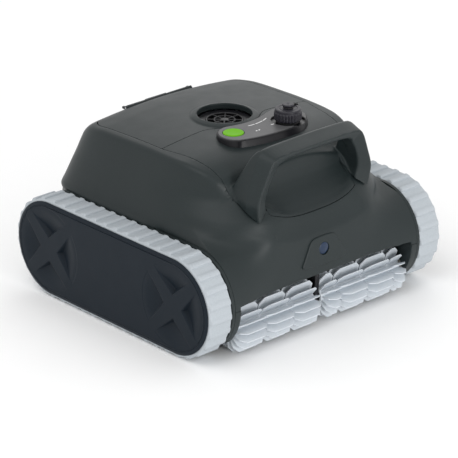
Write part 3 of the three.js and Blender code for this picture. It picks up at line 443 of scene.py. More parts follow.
# ------------------------------------------------------------------ meshes from fields
def contour(field, low, high, step):
    """Vertices and quads of the surface field = 0, with its sharp edges kept (dual contouring)."""
    axes = [np.arange(a, b + step, step) for a, b in zip(low, high)]
    slabs = np.array_split(np.arange(len(axes[0])), max(1, len(axes[0]) // 24))
    y, z = axes[1][None, :, None], axes[2][None, None, :]
    value = np.concatenate(
        [np.broadcast_to(field(axes[0][s][:, None, None], y, z), (len(s), y.size, z.size))
         for s in slabs]
    )
    shape = value.shape
    inside = value < 0
    edge_cells, points, flips = [], [], []
    strides = np.array([shape[1] * shape[2], shape[2], 1])
    for axis in range(3):
        a = [slice(None)] * 3
        b = [slice(None)] * 3
        a[axis], b[axis] = slice(None, -1), slice(1, None)
        start = np.argwhere(inside[tuple(a)] != inside[tuple(b)])
        others = [o for o in range(3) if o != axis]
        keep = (start[:, others] > 0).all(1)
        start = start[keep]
        end = start.copy()
        end[:, axis] += 1
        v0, v1 = value[tuple(start.T)], value[tuple(end.T)]
        spot = np.stack([axes[i][start[:, i]] for i in range(3)], 1)
        near, far = np.zeros(len(v0)), np.ones(len(v0))
        for _ in range(4):
            part = np.clip(v0 / (v0 - v1), 0.08, 0.92)
            at = near + (far - near) * part
            here = spot.copy()
            here[:, axis] += step * at
            v = field(*here.T)
            same = (v < 0) == (v0 < 0)
            near, v0 = np.where(same, at, near), np.where(same, v, v0)
            far, v1 = np.where(same, far, at), np.where(same, v1, v)
        spot[:, axis] += step * (near + (far - near) * v0 / (v0 - v1))
        p, q = strides[others[0]], strides[others[1]]
        base = start @ strides
        edge_cells.append(np.stack([base - p - q, base - q, base, base - p], 1))
        points.append(spot)
        flips.append((v0 < 0) == (axis != 1))
    cells, spots, flip = (np.concatenate(v) for v in (edge_cells, points, flips))
    tiny = 0.12
    normal = np.stack([
        field(*(spots + tiny * offset).T) - field(*(spots - tiny * offset).T) for offset in np.eye(3)
    ], 1)
    normal /= np.maximum(np.linalg.norm(normal, axis=1, keepdims=True), 1e-9)
    ids, index = np.unique(cells.ravel(), return_inverse=True)
    owner, source = index.reshape(-1), np.repeat(np.arange(len(cells)), 4)
    count = np.bincount(owner).astype(float)

    def total(values):
        return np.bincount(owner, weights=values[source], minlength=len(ids))

    mean = np.stack([total(spots[:, i]) / count for i in range(3)], 1)
    offset = np.einsum("ij,ij->i", normal, spots)
    matrix = np.empty((len(ids), 3, 3))
    side = np.empty((len(ids), 3))
    for i in range(3):
        side[:, i] = total(normal[:, i] * offset)
        for j in range(i, 3):
            matrix[:, i, j] = matrix[:, j, i] = total(normal[:, i] * normal[:, j])
    side -= np.einsum("ijk,ik->ij", matrix, mean)
    matrix += 0.06 * np.eye(3)
    shift = np.linalg.solve(matrix, side[..., None])[..., 0]
    corner = np.stack(np.unravel_index(ids, shape), 1) * step + np.array([a[0] for a in axes])
    verts = np.clip(mean + shift, corner, corner + step)
    quads = index.reshape(-1, 4)
    quads = np.where(flip[:, None], quads[:, ::-1], quads)
    return verts, quads


def mesh_object(name, verts, faces, sharp):
    """A mesh piece from millimetre vertices and equal-sided faces, or lists of faces."""
    mesh = bpy.data.meshes.new(name)
    verts = np.asarray(verts, float) * MM
    if isinstance(faces, np.ndarray):
        count, sides = faces.shape
        mesh.vertices.add(len(verts))
        mesh.vertices.foreach_set("co", verts.ravel())
        mesh.loops.add(count * sides)
        mesh.loops.foreach_set("vertex_index", faces.ravel().astype(np.int32))
        mesh.polygons.add(count)
        mesh.polygons.foreach_set("loop_start", np.arange(0, count * sides, sides, dtype=np.int32))
        mesh.update(calc_edges=True)
        mesh.validate()
    else:
        mesh.from_pydata([tuple(v) for v in verts], [], [tuple(f) for f in faces])
        mesh.update()
    piece = bpy.data.objects.new(name, mesh)
    bpy.context.scene.collection.objects.link(piece)
    mesh.polygons.foreach_set("use_smooth", np.ones(len(mesh.polygons), bool))
    mesh.set_sharp_from_angle(angle=math.radians(sharp))
    return piece


def turn_outward(piece):
    """Turns every face of a mesh piece to face out."""
    bm = bmesh.new()
    bm.from_mesh(piece.data)
    bmesh.ops.recalc_face_normals(bm, faces=bm.faces)
    bm.to_mesh(piece.data)
    bm.free()


def finish_piece(piece, body_name, material, slot, *nodes):
    """Gives a piece its material and body, and hides the CAD nodes that it stands for; the slot is not
    used.
    """
    piece.data.materials.clear()
    piece.data.materials.append(material)
    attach(piece, body_name)
    if nodes:
        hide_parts(*nodes)
    return piece


# ------------------------------------------------------------------ materials
def material(name, colour, rough, metal=0.0, grain=0.25, grain_scale=900, patch=0.06,
             rough_patch=0.06, speckle=0.0, specular=0.42):
    """Moulded or metal surface: slow colour patches, varied roughness and a fine surface grain."""
    m = bpy.data.materials.new(name)
    m.use_nodes = True
    nodes, links = m.node_tree.nodes, m.node_tree.links
    shader = nodes["Principled BSDF"]
    shader.inputs["Metallic"].default_value = metal
    shader.inputs["Specular IOR Level"].default_value = specular
    place = nodes.new("ShaderNodeTexCoord")

    def noise(scale, detail):
        n = nodes.new("ShaderNodeTexNoise")
        n.inputs["Scale"].default_value = scale
        n.inputs["Detail"].default_value = detail
        links.new(place.outputs["Object"], n.inputs["Vector"])
        return n

    slow = noise(14, 4)
    mix = nodes.new("ShaderNodeMix")
    mix.data_type = "RGBA"
    mix.inputs["A"].default_value = (*[c * (1 - patch) for c in colour], 1)
    mix.inputs["B"].default_value = (*[min(1, c * (1 + patch)) for c in colour], 1)
    links.new(slow.outputs["Fac"], mix.inputs["Factor"])
    out = mix.outputs["Result"]
    if speckle:
        fleck = noise(grain_scale * 0.6, 1)
        ramp_node = nodes.new("ShaderNodeValToRGB")
        ramp_node.color_ramp.elements[0].position = 0.36
        ramp_node.color_ramp.elements[0].color = (1 - speckle, 1 - speckle, 1 - speckle, 1)
        ramp_node.color_ramp.elements[1].position = 0.6
        ramp_node.color_ramp.elements[1].color = (1, 1, 1, 1)
        links.new(fleck.outputs["Fac"], ramp_node.inputs["Fac"])
        times = nodes.new("ShaderNodeMix")
        times.data_type = "RGBA"
        times.blend_type = "MULTIPLY"
        times.inputs["Factor"].default_value = 1.0
        links.new(out, times.inputs["A"])
        links.new(ramp_node.outputs["Color"], times.inputs["B"])
        out = times.outputs["Result"]
    links.new(out, shader.inputs["Base Color"])
    spread = nodes.new("ShaderNodeMapRange")
    spread.inputs["To Min"].default_value = rough - rough_patch
    spread.inputs["To Max"].default_value = rough + rough_patch
    links.new(noise(45, 5).outputs["Fac"], spread.inputs["Value"])
    links.new(spread.outputs["Result"], shader.inputs["Roughness"])
    bump = nodes.new("ShaderNodeBump")
    bump.inputs["Strength"].default_value = grain
    bump.inputs["Distance"].default_value = 0.0002
    links.new(noise(grain_scale, 2).outputs["Fac"], bump.inputs["Height"])
    links.new(bump.outputs["Normal"], shader.inputs["Normal"])
    return m


MATERIALS = {
    "shell": material("shell_plastic", (0.0150, 0.0215, 0.0225), 0.42, grain=0.25, speckle=0.1,
                      specular=0.29),
    "cover_grey": material("cover_plastic", (0.0070, 0.0125, 0.0195), 0.5, grain=0.25, speckle=0.1,
                           specular=0.16),
    "dark_plastic": material("dark_plastic", (0.006, 0.006, 0.008), 0.3, specular=0.3),
    "track_rubber": material("track_rubber", (0.41, 0.445, 0.475), 0.62, grain=0.4, patch=0.04,
                             speckle=0.05),
    # the track rubber again with a lighter base colour for the brush: painted light, standing in for
    # the light that falls on the brush from the front
    "brush_rubber_painted_light": material("brush_rubber_painted_light", (0.62, 0.66, 0.70), 0.6, grain=0.3, patch=0.04,
                             speckle=0.04),
    "black_rubber": material("black_rubber", (0.012, 0.012, 0.013), 0.7, grain=0.5),
    "panel_grey": material("panel_plastic", (0.080, 0.080, 0.083), 0.42, grain=0.12, patch=0.03,
                           specular=0.3),
    "green_plastic": material("green_plastic", (0.135, 0.42, 0.001), 0.5, grain=0.15, patch=0.04,
                              specular=0.12),
    "lens": material("lens_blue", (0.006, 0.020, 0.052), 0.32, grain=0.02, rough_patch=0.02),
    "nylon": material("nylon", (0.62, 0.60, 0.54), 0.45, grain=0.3),
    "steel": material("steel", (0.42, 0.43, 0.45), 0.3, metal=1.0, grain=0.2, grain_scale=500),
    "battery_wrap": material("battery_wrap", (0.02, 0.08, 0.28), 0.3, grain=0.1),
    "circuit_board": material("circuit_board", (0.01, 0.10, 0.035), 0.35, grain=0.2),
    "filter_fabric": material("filter_fabric", (0.66, 0.68, 0.70), 0.8, grain=0.9,
                              grain_scale=1500),
    "cap_plastic": material("cap_plastic", (0.016, 0.015, 0.022), 0.42, grain=0.2),
    "white_print": material("white_print", (0.75, 0.75, 0.75), 0.5, grain=0.05),
}

SLOT_OF = {s["node"]: s["material_slot"] for s in frame["record"]["subparts"]}
for node_name, node_object in frame["nodes"].items():
    node_object.data.materials.clear()
    node_object.data.materials.append(MATERIALS[SLOT_OF[node_name]])


# ------------------------------------------------------------------ casings
def cast(name, field, low, high, step, body_name, slot, *nodes, look=None):
    """A piece from a field in a box, meshed at a step, with its slot's material or its own."""
    piece = mesh_object(name, *contour(field, low, high, step), 38)
    return finish_piece(piece, body_name, MATERIALS[look or slot], slot, *nodes)


def casings():
    cast("housing_shell", housing_field, (-178.3, -203.1, 74.2), (178.3, 203.5, 262), 1.9,
         "body", "shell", "main_housing")
    cast("front_cover", front_field, (-136.3, -184.1, 158.2), (136.3, -10, 275), 1.4,
         "body", "shell", "front_shell", "carry_handle")
    cast("lid_shell", lid_field, (-135.3, -41.1, 228.2), (135.3, 152, 260), 1.5,
         "lid", "shell", "filter_lid")
    cast("tray_shell", tray_field, (-173.3, -203.1, 22.9), (173.3, 203.1, 76), 2.2,
         "body", "shell", "base_tray")


def round_pattern(x, y, centre, count):
    """Distance from the middle line of the nearest of count spokes, and distance from the centre."""
    dx, dy = x - centre[0], y - centre[1]
    away = np.hypot(dx, dy)
    sector = 2 * math.pi / count
    angle = np.arctan2(dy, dx)
    angle = angle - sector * np.round(angle / sector)
    return away * np.abs(np.sin(angle)), away


# ------------------------------------------------------------------ outlet guard
def guard_field(x, y, z):
    beside, away = round_pattern(x, y, (0, OUTLET_Y), 8)
    dish = np.maximum(np.abs(away - 31.5) - 6.2, np.abs(z - 243.4 - (away - 25) * 0.05) - 1.1)
    rim = np.hypot(away - 25.3, z - 244.8) - 1.3
    middle = np.hypot(away - 14.5, z - 244.6) - 1.2
    hub = smooth_max(away - 6.2, np.abs(z - 244.6 + away * 0.12) - 1.9, 1)
    spokes = np.maximum(np.hypot(beside, (z - 244.3) * 0.8) - 1.15, away - 25.5)
    return smooth_min(
        smooth_min(dish, rim, 0.6), smooth_min(smooth_min(hub, middle, 0.6), spokes, 0.8), 0.6
    )


# ------------------------------------------------------------------ control panel
PLATE_EDGE = smooth_loop([
    (-60, -44), (-50, -36), (-38, -34), (-22, -38), (-5, -41), (13, -40), (31, -36), (46, -31),
    (60, -29), (74, -38), (81, -56), (78, -72), (68, -84), (52, -92), (27, -95.5), (5, -96),
    (-18, -94), (-40, -89), (-56, -83), (-65, -72), (-66, -57),
])
POCKET_RADIUS = 23.6


def plate_distance(x, y):
    return polygon(x, y, PLATE_EDGE)


def pocket_distance(x, y):
    return np.hypot(x - CAP_X, y - CAP_Y) - POCKET_RADIUS


def panel_base_field(x, y, z):
    edge = plate_distance(x, y) - 1.9
    skirt = smooth_max(edge + 0.12 * (z - 250), z - 255.4, 1.6)
    skirt = np.maximum(skirt, 238 - z)
    skirt = np.maximum(skirt, top_height(x, y) - 1.5 - z)
    skirt = np.maximum(skirt, 48 - np.hypot(x, y - OUTLET_Y))
    skirt = smooth_max(skirt, -np.maximum(plate_distance(x, y) - 0.15, PLATE_SEAT - z), 0.3)
    skirt = smooth_max(skirt, -np.maximum(pocket_distance(x, y), POCKET_FLOOR - z), 0.8)
    bore = np.hypot(x - BUTTON_X, y - BUTTON_Y) - BUTTON_BORE
    socket = np.hypot(x - CAP_X, y - CAP_Y) - SOCKET_BORE
    return smooth_max(smooth_max(skirt, -bore, 0.4), -socket, 0.4)


def panel_plate_field(x, y, z):
    edge = plate_distance(x, y) + 0.25
    plate = smooth_max(edge, np.abs(z - 254.95) - 1.2, 1.2)
    plate = smooth_max(plate, -pocket_distance(x, y), 1.2)
    away = np.hypot(x - BUTTON_X, y - BUTTON_Y)
    return smooth_max(plate, 15.1 - away, 1.0)


def button_field(x, y, z):
    away = np.hypot(x - BUTTON_X, y - BUTTON_Y)
    top = 256.75 - 0.9 * ramp(away, 14.4, 2) + 0.35 * ramp(away, 12.9, 12.1)
    disc = smooth_max(away - 14.5, np.maximum(z - top, 252.2 - z), 1.1)
    return np.minimum(disc, np.maximum(away - 4, np.abs(z - 246.5) - 6.5))


def cap_field(x, y, z):
    angle = np.arctan2(y - CAP_Y, x - CAP_X)
    away = np.hypot(x - CAP_X, y - CAP_Y)
    rib = 0.5 + 0.5 * np.cos(26 * angle)
    grip = away - 18.2 - 1.2 * np.sqrt(rib) * ramp(z, 269.8, 267.2)
    body_part = smooth_max(grip, np.abs(z - 265.1) - 8.3, 2.2)
    body_part = smooth_max(body_part, -np.maximum(away - 14.1, z - 269.5), 0.6)
    body_part = smooth_max(body_part, -(np.hypot(away - 12.4, z - 274.4) - 1.5), 0.5)
    neck = np.maximum(away - 4, np.abs(z - 275) - 2)
    knob = smooth_max(away - 8, np.abs(z - 277.9) - 1.55, 1.2)
    knob = smooth_max(knob, -(np.hypot(away, z - 281.6) - 3.2), 0.6)
    bar = smooth_max(np.maximum(np.abs((x - CAP_X) * 0.8 + (y - CAP_Y) * 0.6) - 1.3, away - 6.6),
                     np.abs(z - 278.8) - 0.6, 0.4)
    return smooth_min(smooth_min(body_part, neck, 1), np.minimum(knob, bar), 0.8)


# ------------------------------------------------------------------ front sensor
BEZEL_EDGE = smooth_loop([
    (-41, 97), (-37, 106), (-31, 116), (-24.5, 127), (-18, 132), (-7, 133.3), (7, 133.3),
    (18, 132), (24.5, 127), (31, 116), (37, 106), (41, 97), (30, 93.5), (0, 92.6), (-30, 93.5),
])


def bezel_field(x, y, z):
    edge = polygon(x, z, BEZEL_EDGE)
    bump = smooth_max(edge, -y - curve(FRONT_REACH, z) - SENSOR_PROUD, 1.6)
    bump = np.maximum(bump, y + 184)
    away = np.hypot(x, z - SENSOR_Z)
    return smooth_max(bump, -np.maximum(away - 9.2, y + 191), 0.5)


def lens_field(x, y, z):
    away = np.hypot(x, z - SENSOR_Z)
    dome_front = -curve(FRONT_REACH, SENSOR_Z) - SENSOR_PROUD - 0.3 + 0.016 * away**2 - y
    return smooth_max(np.maximum(away - 8.7, y + 188), dome_front, 0.8)


# ------------------------------------------------------------------ running gear
PIT_SLANT = 0.55
DISH_RADIUS, DISH_DEPTH, PIT_APEX, PIT_SPREAD = 60.0, 7.0, 17.5, 1.2


def cover_field(side):
    """The outer cover: bevelled rim, and a round dish over each wheel with an X left standing."""
    def field(x, y, z):
        out = side * x
        rim = stadium(y, z, COVER_RADIUS)
        bevel = ((rim + 6.2) * 1.9 + (out - COVER_FACE) * 5.2) / 5.54
        plate = smooth_max(np.maximum(rim, COVER_LOW - out), out - COVER_FACE, 0.5)
        plate = smooth_max(plate, bevel, 0.9)
        groove = np.maximum(np.abs(rim + 7.2) - 0.7, COVER_FACE - 0.9 - out)
        plate = smooth_max(plate, -groove, 0.4)
        p, q = np.abs(y) - AXLE_Y, z - AXLE_Z
        away = np.hypot(p, q)
        pad = np.maximum(away - DISH_RADIUS - 2, np.abs(out - 215) - 3.2)
        posts = np.maximum(np.hypot(np.abs(y) - 38, q) - 9, np.abs(out - 198) - 20)
        solid = np.minimum(np.minimum(plate, pad), posts)
        along = np.maximum(np.abs(p), np.abs(q))
        across = np.minimum(np.abs(p), np.abs(q))
        wedge = (across - PIT_SPREAD * (along - PIT_APEX)) / math.hypot(1, PIT_SPREAD)
        depth = DISH_DEPTH * (1 - ramp(away, 20, DISH_RADIUS))
        slanted = (wedge + (COVER_FACE - out) * PIT_SLANT) / math.hypot(1, PIT_SLANT)
        pit = smooth_max(slanted, (COVER_FACE - depth - out) * 0.97, 1.2)
        pit = np.maximum(pit, away - DISH_RADIUS - 1)
        return smooth_max(solid, -pit, 0.6)
    return field


def frame_field(side):
    centres = [cad_centre("right_" + n)[1:] for n in ("drive_bearing", "brush_core", "motor_pinion")]

    def field(x, y, z):
        out = side * x
        rim = stadium(y, z, FRAME_RADIUS)
        plate = smooth_max(rim, np.abs(out - 174.9) - 2.5, 0.8)
        for (cy, cz), radius, to in zip(centres, (13.8, 6.5, 3.4), (180, 175.6, 175.6)):
            plate = np.maximum(plate, -rod(y, z, out, (cy, cz), radius, 170, to))
        return plate
    return field


def round_track(distance, radius):
    """Point of the belt's loop at a distance along it, out at a radius round the wheel ends."""
    run, arc = 2 * AXLE_Y, math.pi * TRACK_TIP
    distance = distance % (2 * (run + arc))
    second = distance >= run + arc
    t = np.where(second, distance - run - arc, distance)
    turn = np.clip((t - run) / TRACK_TIP, 0, math.pi)
    y = np.minimum(t, run) - AXLE_Y + radius * np.sin(turn)
    z = -radius * np.cos(turn)
    flip = np.where(second, -1, 1)
    return y * flip, AXLE_Z + z * flip


TREAD_SHAPE = [
    (0.0, 0.0), (0.05, 0.0), (0.16, 0.06), (0.3, 0.16), (0.42, 0.26), (0.5, 0.42), (0.56, 0.7),
    (0.63, 0.93), (0.72, 1.0), (0.82, 0.99), (0.9, 0.9), (0.945, 0.68), (0.965, 0.1),
]
BAND_ACROSS = [
    (0, -1.2, 0), (0.4, -0.3, 0), (0.8, 0.1, 0.3), (1.6, 0, 0.8), (2.6, 0, 1), (3.8, 0, 1),
    (10, 0, 1), (17, 0, 1), (24, 0, 1), (31, 0, 1), (35, 0, 1), (36.4, 0, 0.97), (37.3, 0, 0.8),
    (37.9, 0.2, 0.42), (38.4, 0.2, 0.05), (38.8, -0.3, 0), (39, -1.2, 0),
]
BAND_INSIDE = [(39, 0.9), (38, 0.3), (30, 0), (20, 0), (9, 0), (1, 0.3), (0, 0.9)]


def track(side, name):
    """The belt: a moulded strip with a low ridge and a step down at the end of each tread."""
    pitch = (4 * AXLE_Y + 2 * math.pi * TRACK_TIP) / TREADS
    height = TRACK_TIP - TRACK_ROOT
    verts = []
    for tread in range(TREADS):
        for part, rise in TREAD_SHAPE:
            at = np.array((tread + part) * pitch)
            for across, lift, share in BAND_ACROSS:
                y, z = round_track(at, TRACK_ROOT + lift + share * rise * height)
                verts.append((side * (TRACK_LOW + across), float(y), float(z)))
            for across, lift in BAND_INSIDE:
                y, z = round_track(at, TRACK_INNER + lift)
                verts.append((side * (TRACK_LOW + across), float(y), float(z)))
    ring = len(BAND_ACROSS) + len(BAND_INSIDE)
    rows = TREADS * len(TREAD_SHAPE)
    faces = []
    for i in range(rows):
        for j in range(ring):
            a, b = i * ring + j, i * ring + (j + 1) % ring
            c, d = ((i + 1) % rows) * ring + (j + 1) % ring, ((i + 1) % rows) * ring + j
            faces.append((a, b, c, d) if side > 0 else (d, c, b, a))
    return mesh_object(name, verts, np.array(faces)[:, ::-1], 42)


# ------------------------------------------------------------------ brush
BRUSH_ROWS, BRUSH_TURN, FLAP_CUT, FLAP_GAP = 16, 5.0, 8.5, 2.2
FLAP_EDGES = {-1: [6, 57, 108, 159], 1: [6, 33, 84, 135, 159]}


def flap(x0, x1, angle, side):
    """One brush flap: a flat tapered blade with its two outer corners cut off."""
    cut = min(FLAP_CUT, 0.36 * (x1 - x0))
    shoulder = BRUSH_TIP - cut
    levels = [(BRUSH_CORE - 1.5, 1.0, 0, 0), (BRUSH_CORE + 4, 0.9, 0, 0), (shoulder, 0.75, 0, 0.2),
              (BRUSH_TIP - 0.5, 0.55, cut - 0.5, 0.9), (BRUSH_TIP - 0.1, 0.25, cut, 1.0)]
    parts = (0, 0.25, 0.5, 0.75, 1)
    verts, faces = [], []
    for face in (1, -1):
        for radius, half, trim, lean in levels:
            for u in parts:
                x = (x0 + trim) * (1 - u) + (x1 - trim) * u
                offset = lean + face * half
                y = radius * math.cos(angle) - offset * math.sin(angle)
                z = radius * math.sin(angle) + offset * math.cos(angle)
                verts.append((side * x, BRUSH_Y + y, BRUSH_Z + z))
    row, up = len(parts), len(levels) - 1
    sheet = row * len(levels)
    for i in range(up):
        for j in range(row - 1):
            a = i * row + j
            faces.append((a, a + 1, a + row + 1, a + row))
            b = a + sheet
            faces.append((b, b + row, b + row + 1, b + 1))
    edge = list(range(row)) + [i * row + row - 1 for i in range(1, up + 1)]
    edge += [up * row + j for j in range(row - 2, -1, -1)] + [i * row for i in range(up - 1, 0, -1)]
    for a, b in zip(edge, edge[1:] + edge[:1]):
        faces.append((b, a, a + sheet, b + sheet))
    return verts, faces


def brush(side, name):
    verts, faces = [], []
    sleeve = []
    for x, radius in ((BRUSH_LOW, 10), (BRUSH_LOW, 12.2), (BRUSH_LOW + 0.8, BRUSH_CORE),
                      (BRUSH_HIGH - 0.8, BRUSH_CORE), (BRUSH_HIGH, 12.2), (BRUSH_HIGH, 10)):
        for k in range(36):
            turn = 2 * math.pi * k / 36
            sleeve.append((side * x, BRUSH_Y + radius * math.cos(turn),
                           BRUSH_Z + radius * math.sin(turn)))
    verts += sleeve
    for r in range(6):
        for k in range(36):
            a, b = r * 36 + k, r * 36 + (k + 1) % 36
            c, d = ((r + 1) % 6) * 36 + (k + 1) % 36, ((r + 1) % 6) * 36 + k
            faces.append((a, b, c, d))
    for row in range(BRUSH_ROWS):
        angle = math.pi - math.radians(BRUSH_TURN) - 2 * math.pi * row / BRUSH_ROWS
        for low, high in zip(FLAP_EDGES[side], FLAP_EDGES[side][1:]):
            more, sheets = flap(low + FLAP_GAP / 2, high - FLAP_GAP / 2, angle, side)
            start = len(verts)
            verts += more
            faces += [tuple(i + start for i in f) for f in sheets]
    piece = mesh_object(name, verts, np.array(faces), 12)
    turn_outward(piece)
    return piece


# ------------------------------------------------------------------ tether of the cap
def tether():
    """The strap that keeps the cap: an eye round its neck, and a band down to the panel's end."""
    _, high = cad_box("charge_cap")
    crown = high[2] - 6.0
    reach, drop = 23.8, 16.3
    route = [(6.2, 1.3), (14, 1.6), (20.5, -0.6), (23.4, -6), (reach, -10.5), (reach, -drop)]
    route = np.array([(r, crown + z) for r, z in route])
    steps = 5
    path = []
    padded = np.vstack([2 * route[0] - route[1], route, 2 * route[-1] - route[-2]])
    for k in range(1, len(padded) - 2):
        for t in np.arange(steps) / steps:
            a, b, c, d = padded[k - 1 : k + 3]
            path.append(0.5 * (2 * b + (c - a) * t + (2 * a - 5 * b + 4 * c - d) * t**2
                               + (3 * b - a - 3 * c + d) * t**3))
    path.append(route[-1])
    path = np.array(path)
    tangent = np.gradient(path, axis=0)
    tangent /= np.linalg.norm(tangent, axis=1, keepdims=True)
    half_thick, half_wide, squareness = 0.9, 3.0, 0.4
    section = [(half_thick * np.sign(math.cos(a)) * abs(math.cos(a)) ** squareness,
                half_wide * np.sign(math.sin(a)) * abs(math.sin(a)) ** squareness)
               for a in (np.arange(16) + 0.5) * math.pi / 8]
    dx, dy = 0.966, 0.259
    verts, faces = [], []
    for (r, z), (tr, tz) in zip(path, tangent):
        for thick, wide in section:
            rr, zz = r + thick * -tz, z + thick * tr
            verts.append((CAP_X + rr * dx - wide * dy, CAP_Y + rr * dy + wide * dx, zz))
    count, n = len(path), len(section)
    for i in range(count - 1):
        for j in range(n):
            a, b = i * n + j, i * n + (j + 1) % n
            faces.append((a, b, b + n, a + n))
    faces.append(tuple(reversed(range(n))))
    faces.append(tuple(range((count - 1) * n, count * n)))
    start, around = len(verts), 40
    loop = [(4.4, 0.55), (4.6, 0.35), (6.8, 0.35), (7.0, 0.55), (7.0, 2.05), (6.8, 2.25),
            (4.6, 2.25), (4.4, 2.05)]
    for k in range(around):
        turn = 2 * math.pi * k / around
        for r, z in loop:
            verts.append((CAP_X + r * math.cos(turn), CAP_Y + r * math.sin(turn), crown + z))
    for k in range(around):
        for j in range(8):
            a, b = start + k * 8 + j, start + k * 8 + (j + 1) % 8
            c, d = start + ((k + 1) % around) * 8 + (j + 1) % 8, start + ((k + 1) % around) * 8 + j
            faces.append((a, b, c, d))
    piece = mesh_object("tether", verts, faces, 40)
    turn_outward(piece)
    piece.data.materials.append(MATERIALS["black_rubber"])
    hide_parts("cap_tether")
    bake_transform(piece)
    return piece


# ------------------------------------------------------------------ printed marks
def printed_marks():
    """A thin pale arc, two small lights and the cap's index mark on the panel."""
    verts, faces = [], []
    top, bottom = 256.28, 256.0
    arc_radius = 62

    def strip(points, width):
        points = np.array(points, float)
        along = np.gradient(points, axis=0)
        along /= np.linalg.norm(along, axis=1, keepdims=True)
        across = np.stack([-along[:, 1], along[:, 0]], 1) * width / 2
        start, n = len(verts), len(points)
        for side, height in ((-1, bottom), (-0.8, top), (0.8, top), (1, bottom)):
            for p, q in zip(points, across):
                verts.append((p[0] + side * q[0], p[1] + side * q[1], height))
        for row in range(4):
            nxt = (row + 1) % 4
            for i in range(n - 1):
                faces.append((start + row * n + i, start + nxt * n + i,
                              start + nxt * n + i + 1, start + row * n + i + 1))
        for end in (0, n - 1):
            faces.append(tuple(start + row * n + end for row in range(4)))

    for a0, a1 in ((-101, -91), (-89.5, -75.5), (-74, -64.5)):
        arc = np.radians(np.linspace(a0, a1, 12))
        strip([(arc_radius * math.cos(a), OUTLET_Y + arc_radius * math.sin(a)) for a in arc],
              1.7)
    for x0 in (-17.5, -12.5):
        strip([(x0, -74.5), (x0 + 1.4, -74.2), (x0 + 2.9, -73.6)], 2.2)
    strip([(14.6, -70.6), (17, -70.9), (19.6, -71.2)], 2.2)
    piece = mesh_object("printed_marks", verts, faces, 30)
    turn_outward(piece)
    return finish_piece(piece, "body", MATERIALS["white_print"], "nylon")


# ------------------------------------------------------------------ filter and underside
def basket_field(x, y, z):
    (_, y0, z0), (x1, y1, z1) = cad_box("filter_basket")
    cy, wall = (y0 + y1) / 2, 2.4
    outer = smooth_max(np.abs(x) - x1, np.abs(y - cy) - (y1 - y0) / 2, 6)
    outer = smooth_max(outer, z0 - z, 3)
    tub = np.maximum(np.maximum(outer, z - z1), -np.maximum(outer + wall, z0 + wall - z))
    low, high = z0 + 14, z1 - 18
    panes, pitch, rung = 104, 52, 38
    pane = np.abs(np.mod(x + panes, pitch) - pitch / 2) - 21
    pane = smooth_max(pane, np.abs(z - (low + high) / 2) - (high - low) / 2, 8)
    bars = np.minimum(np.abs(np.mod(x + panes, pitch) - pitch / 2) - 0.9,
                      np.abs(np.mod(z, rung) - rung / 2) - 0.9)
    front = np.maximum(pane, -bars)
    front = np.maximum(front, np.abs(x) - panes)
    ends = smooth_max(np.abs(y - cy) - 19, np.abs(z - (low + high) / 2) - (high - low) / 2, 8)
    ends = np.maximum(ends, -np.minimum(np.abs(y - cy) - 0.9,
                                        np.abs(np.mod(z, rung) - rung / 2) - 0.9))
    ends = np.maximum(ends, 108 - np.abs(x))
    throat = smooth_max(np.abs(x) - 64, np.abs(y - 78) - 20, 5)
    throat = np.maximum(throat, z - z0 - 5)
    tub = smooth_max(tub, -front, 0.6)
    tub = smooth_max(tub, -ends, 0.6)
    return smooth_max(tub, -throat, 0.6)


def cloth_field(x, y, z):
    """The filter cloth, pressed out a little into each pane of the basket."""
    (_, y0, z0), (x1, y1, z1) = cad_box("filter_mesh")
    cy = (y0 + y1) / 2
    swell = 1.5 * np.abs(np.cos(math.pi * np.clip(x / 52, -2, 2)) ** 2 - 1) * ramp(z, 60, 74)
    swell = swell * ramp(z, 213, 200)
    outer = smooth_max(np.abs(x) - x1, np.abs(y - cy) - (y1 - y0) / 2 - swell + 0.3, 5)
    outer = np.maximum(outer, np.abs(z - (z0 + z1) / 2) - (z1 - z0) / 2)
    return np.maximum(outer, -(smooth_max(np.abs(x) - x1 + 1.4,
                                          np.abs(y - cy) - (y1 - y0) / 2 - swell + 1.7, 5)))


def bracket_field(x, y, z):
    (_, y0, z0), (x1, y1, z1) = cad_box("brush_centre_bracket")
    cy = (y0 + y1) / 2
    half = 9 + 2 * ramp(z, 26, 60)
    arm = smooth_max(np.abs(y - cy) - half, np.abs(z - (z0 + z1) / 2) - (z1 - z0) / 2, 6)
    arm = smooth_max(arm, np.abs(x) - x1, 1.2)
    rib = np.maximum(np.maximum(np.abs(y - cy) - half + 3, np.abs(z - 62) - 11), 2.6 - np.abs(x))
    arm = smooth_max(arm, -rib, 0.6)
    return np.maximum(arm, 6.6 - np.hypot(y - BRUSH_Y, z - BRUSH_Z))


def lip_field(x, y, z):
    (_, y0, z0), (x1, y1, z1) = cad_box("intake_lip")
    cy = (y0 + y1) / 2
    outer = smooth_max(np.abs(x) - x1, np.abs(y - cy) - (y1 - y0) / 2, 5) + 0.25 * (z1 - z)
    hole = smooth_max(np.abs(x) - 60, np.abs(y - cy) - 15, 4)
    ring = smooth_max(outer, -hole, 0.8)
    return smooth_max(ring, np.abs(z - (z0 + z1) / 2) - (z1 - z0) / 2, 1)


SCREWS = [
    (side * x, y) for side in (-1, 1)
    for x, y in ((150, 150), (150, 20), (150, -95), (60, -110), (60, 150))
]


def screw_field(x, y, z):
    form = None
    for cx, cy in SCREWS:
        u, v = x - cx, y - cy
        away = np.hypot(u, v)
        one = smooth_max(away - 4.2, np.abs(z - 24.2) - 1.7, 0.8)
        slot = np.maximum(np.minimum(np.abs(u), np.abs(v)) - 0.55, np.maximum(away - 3, z - 23.6))
        one = np.maximum(one, -slot)
        form = one if form is None else np.minimum(form, one)
    return form


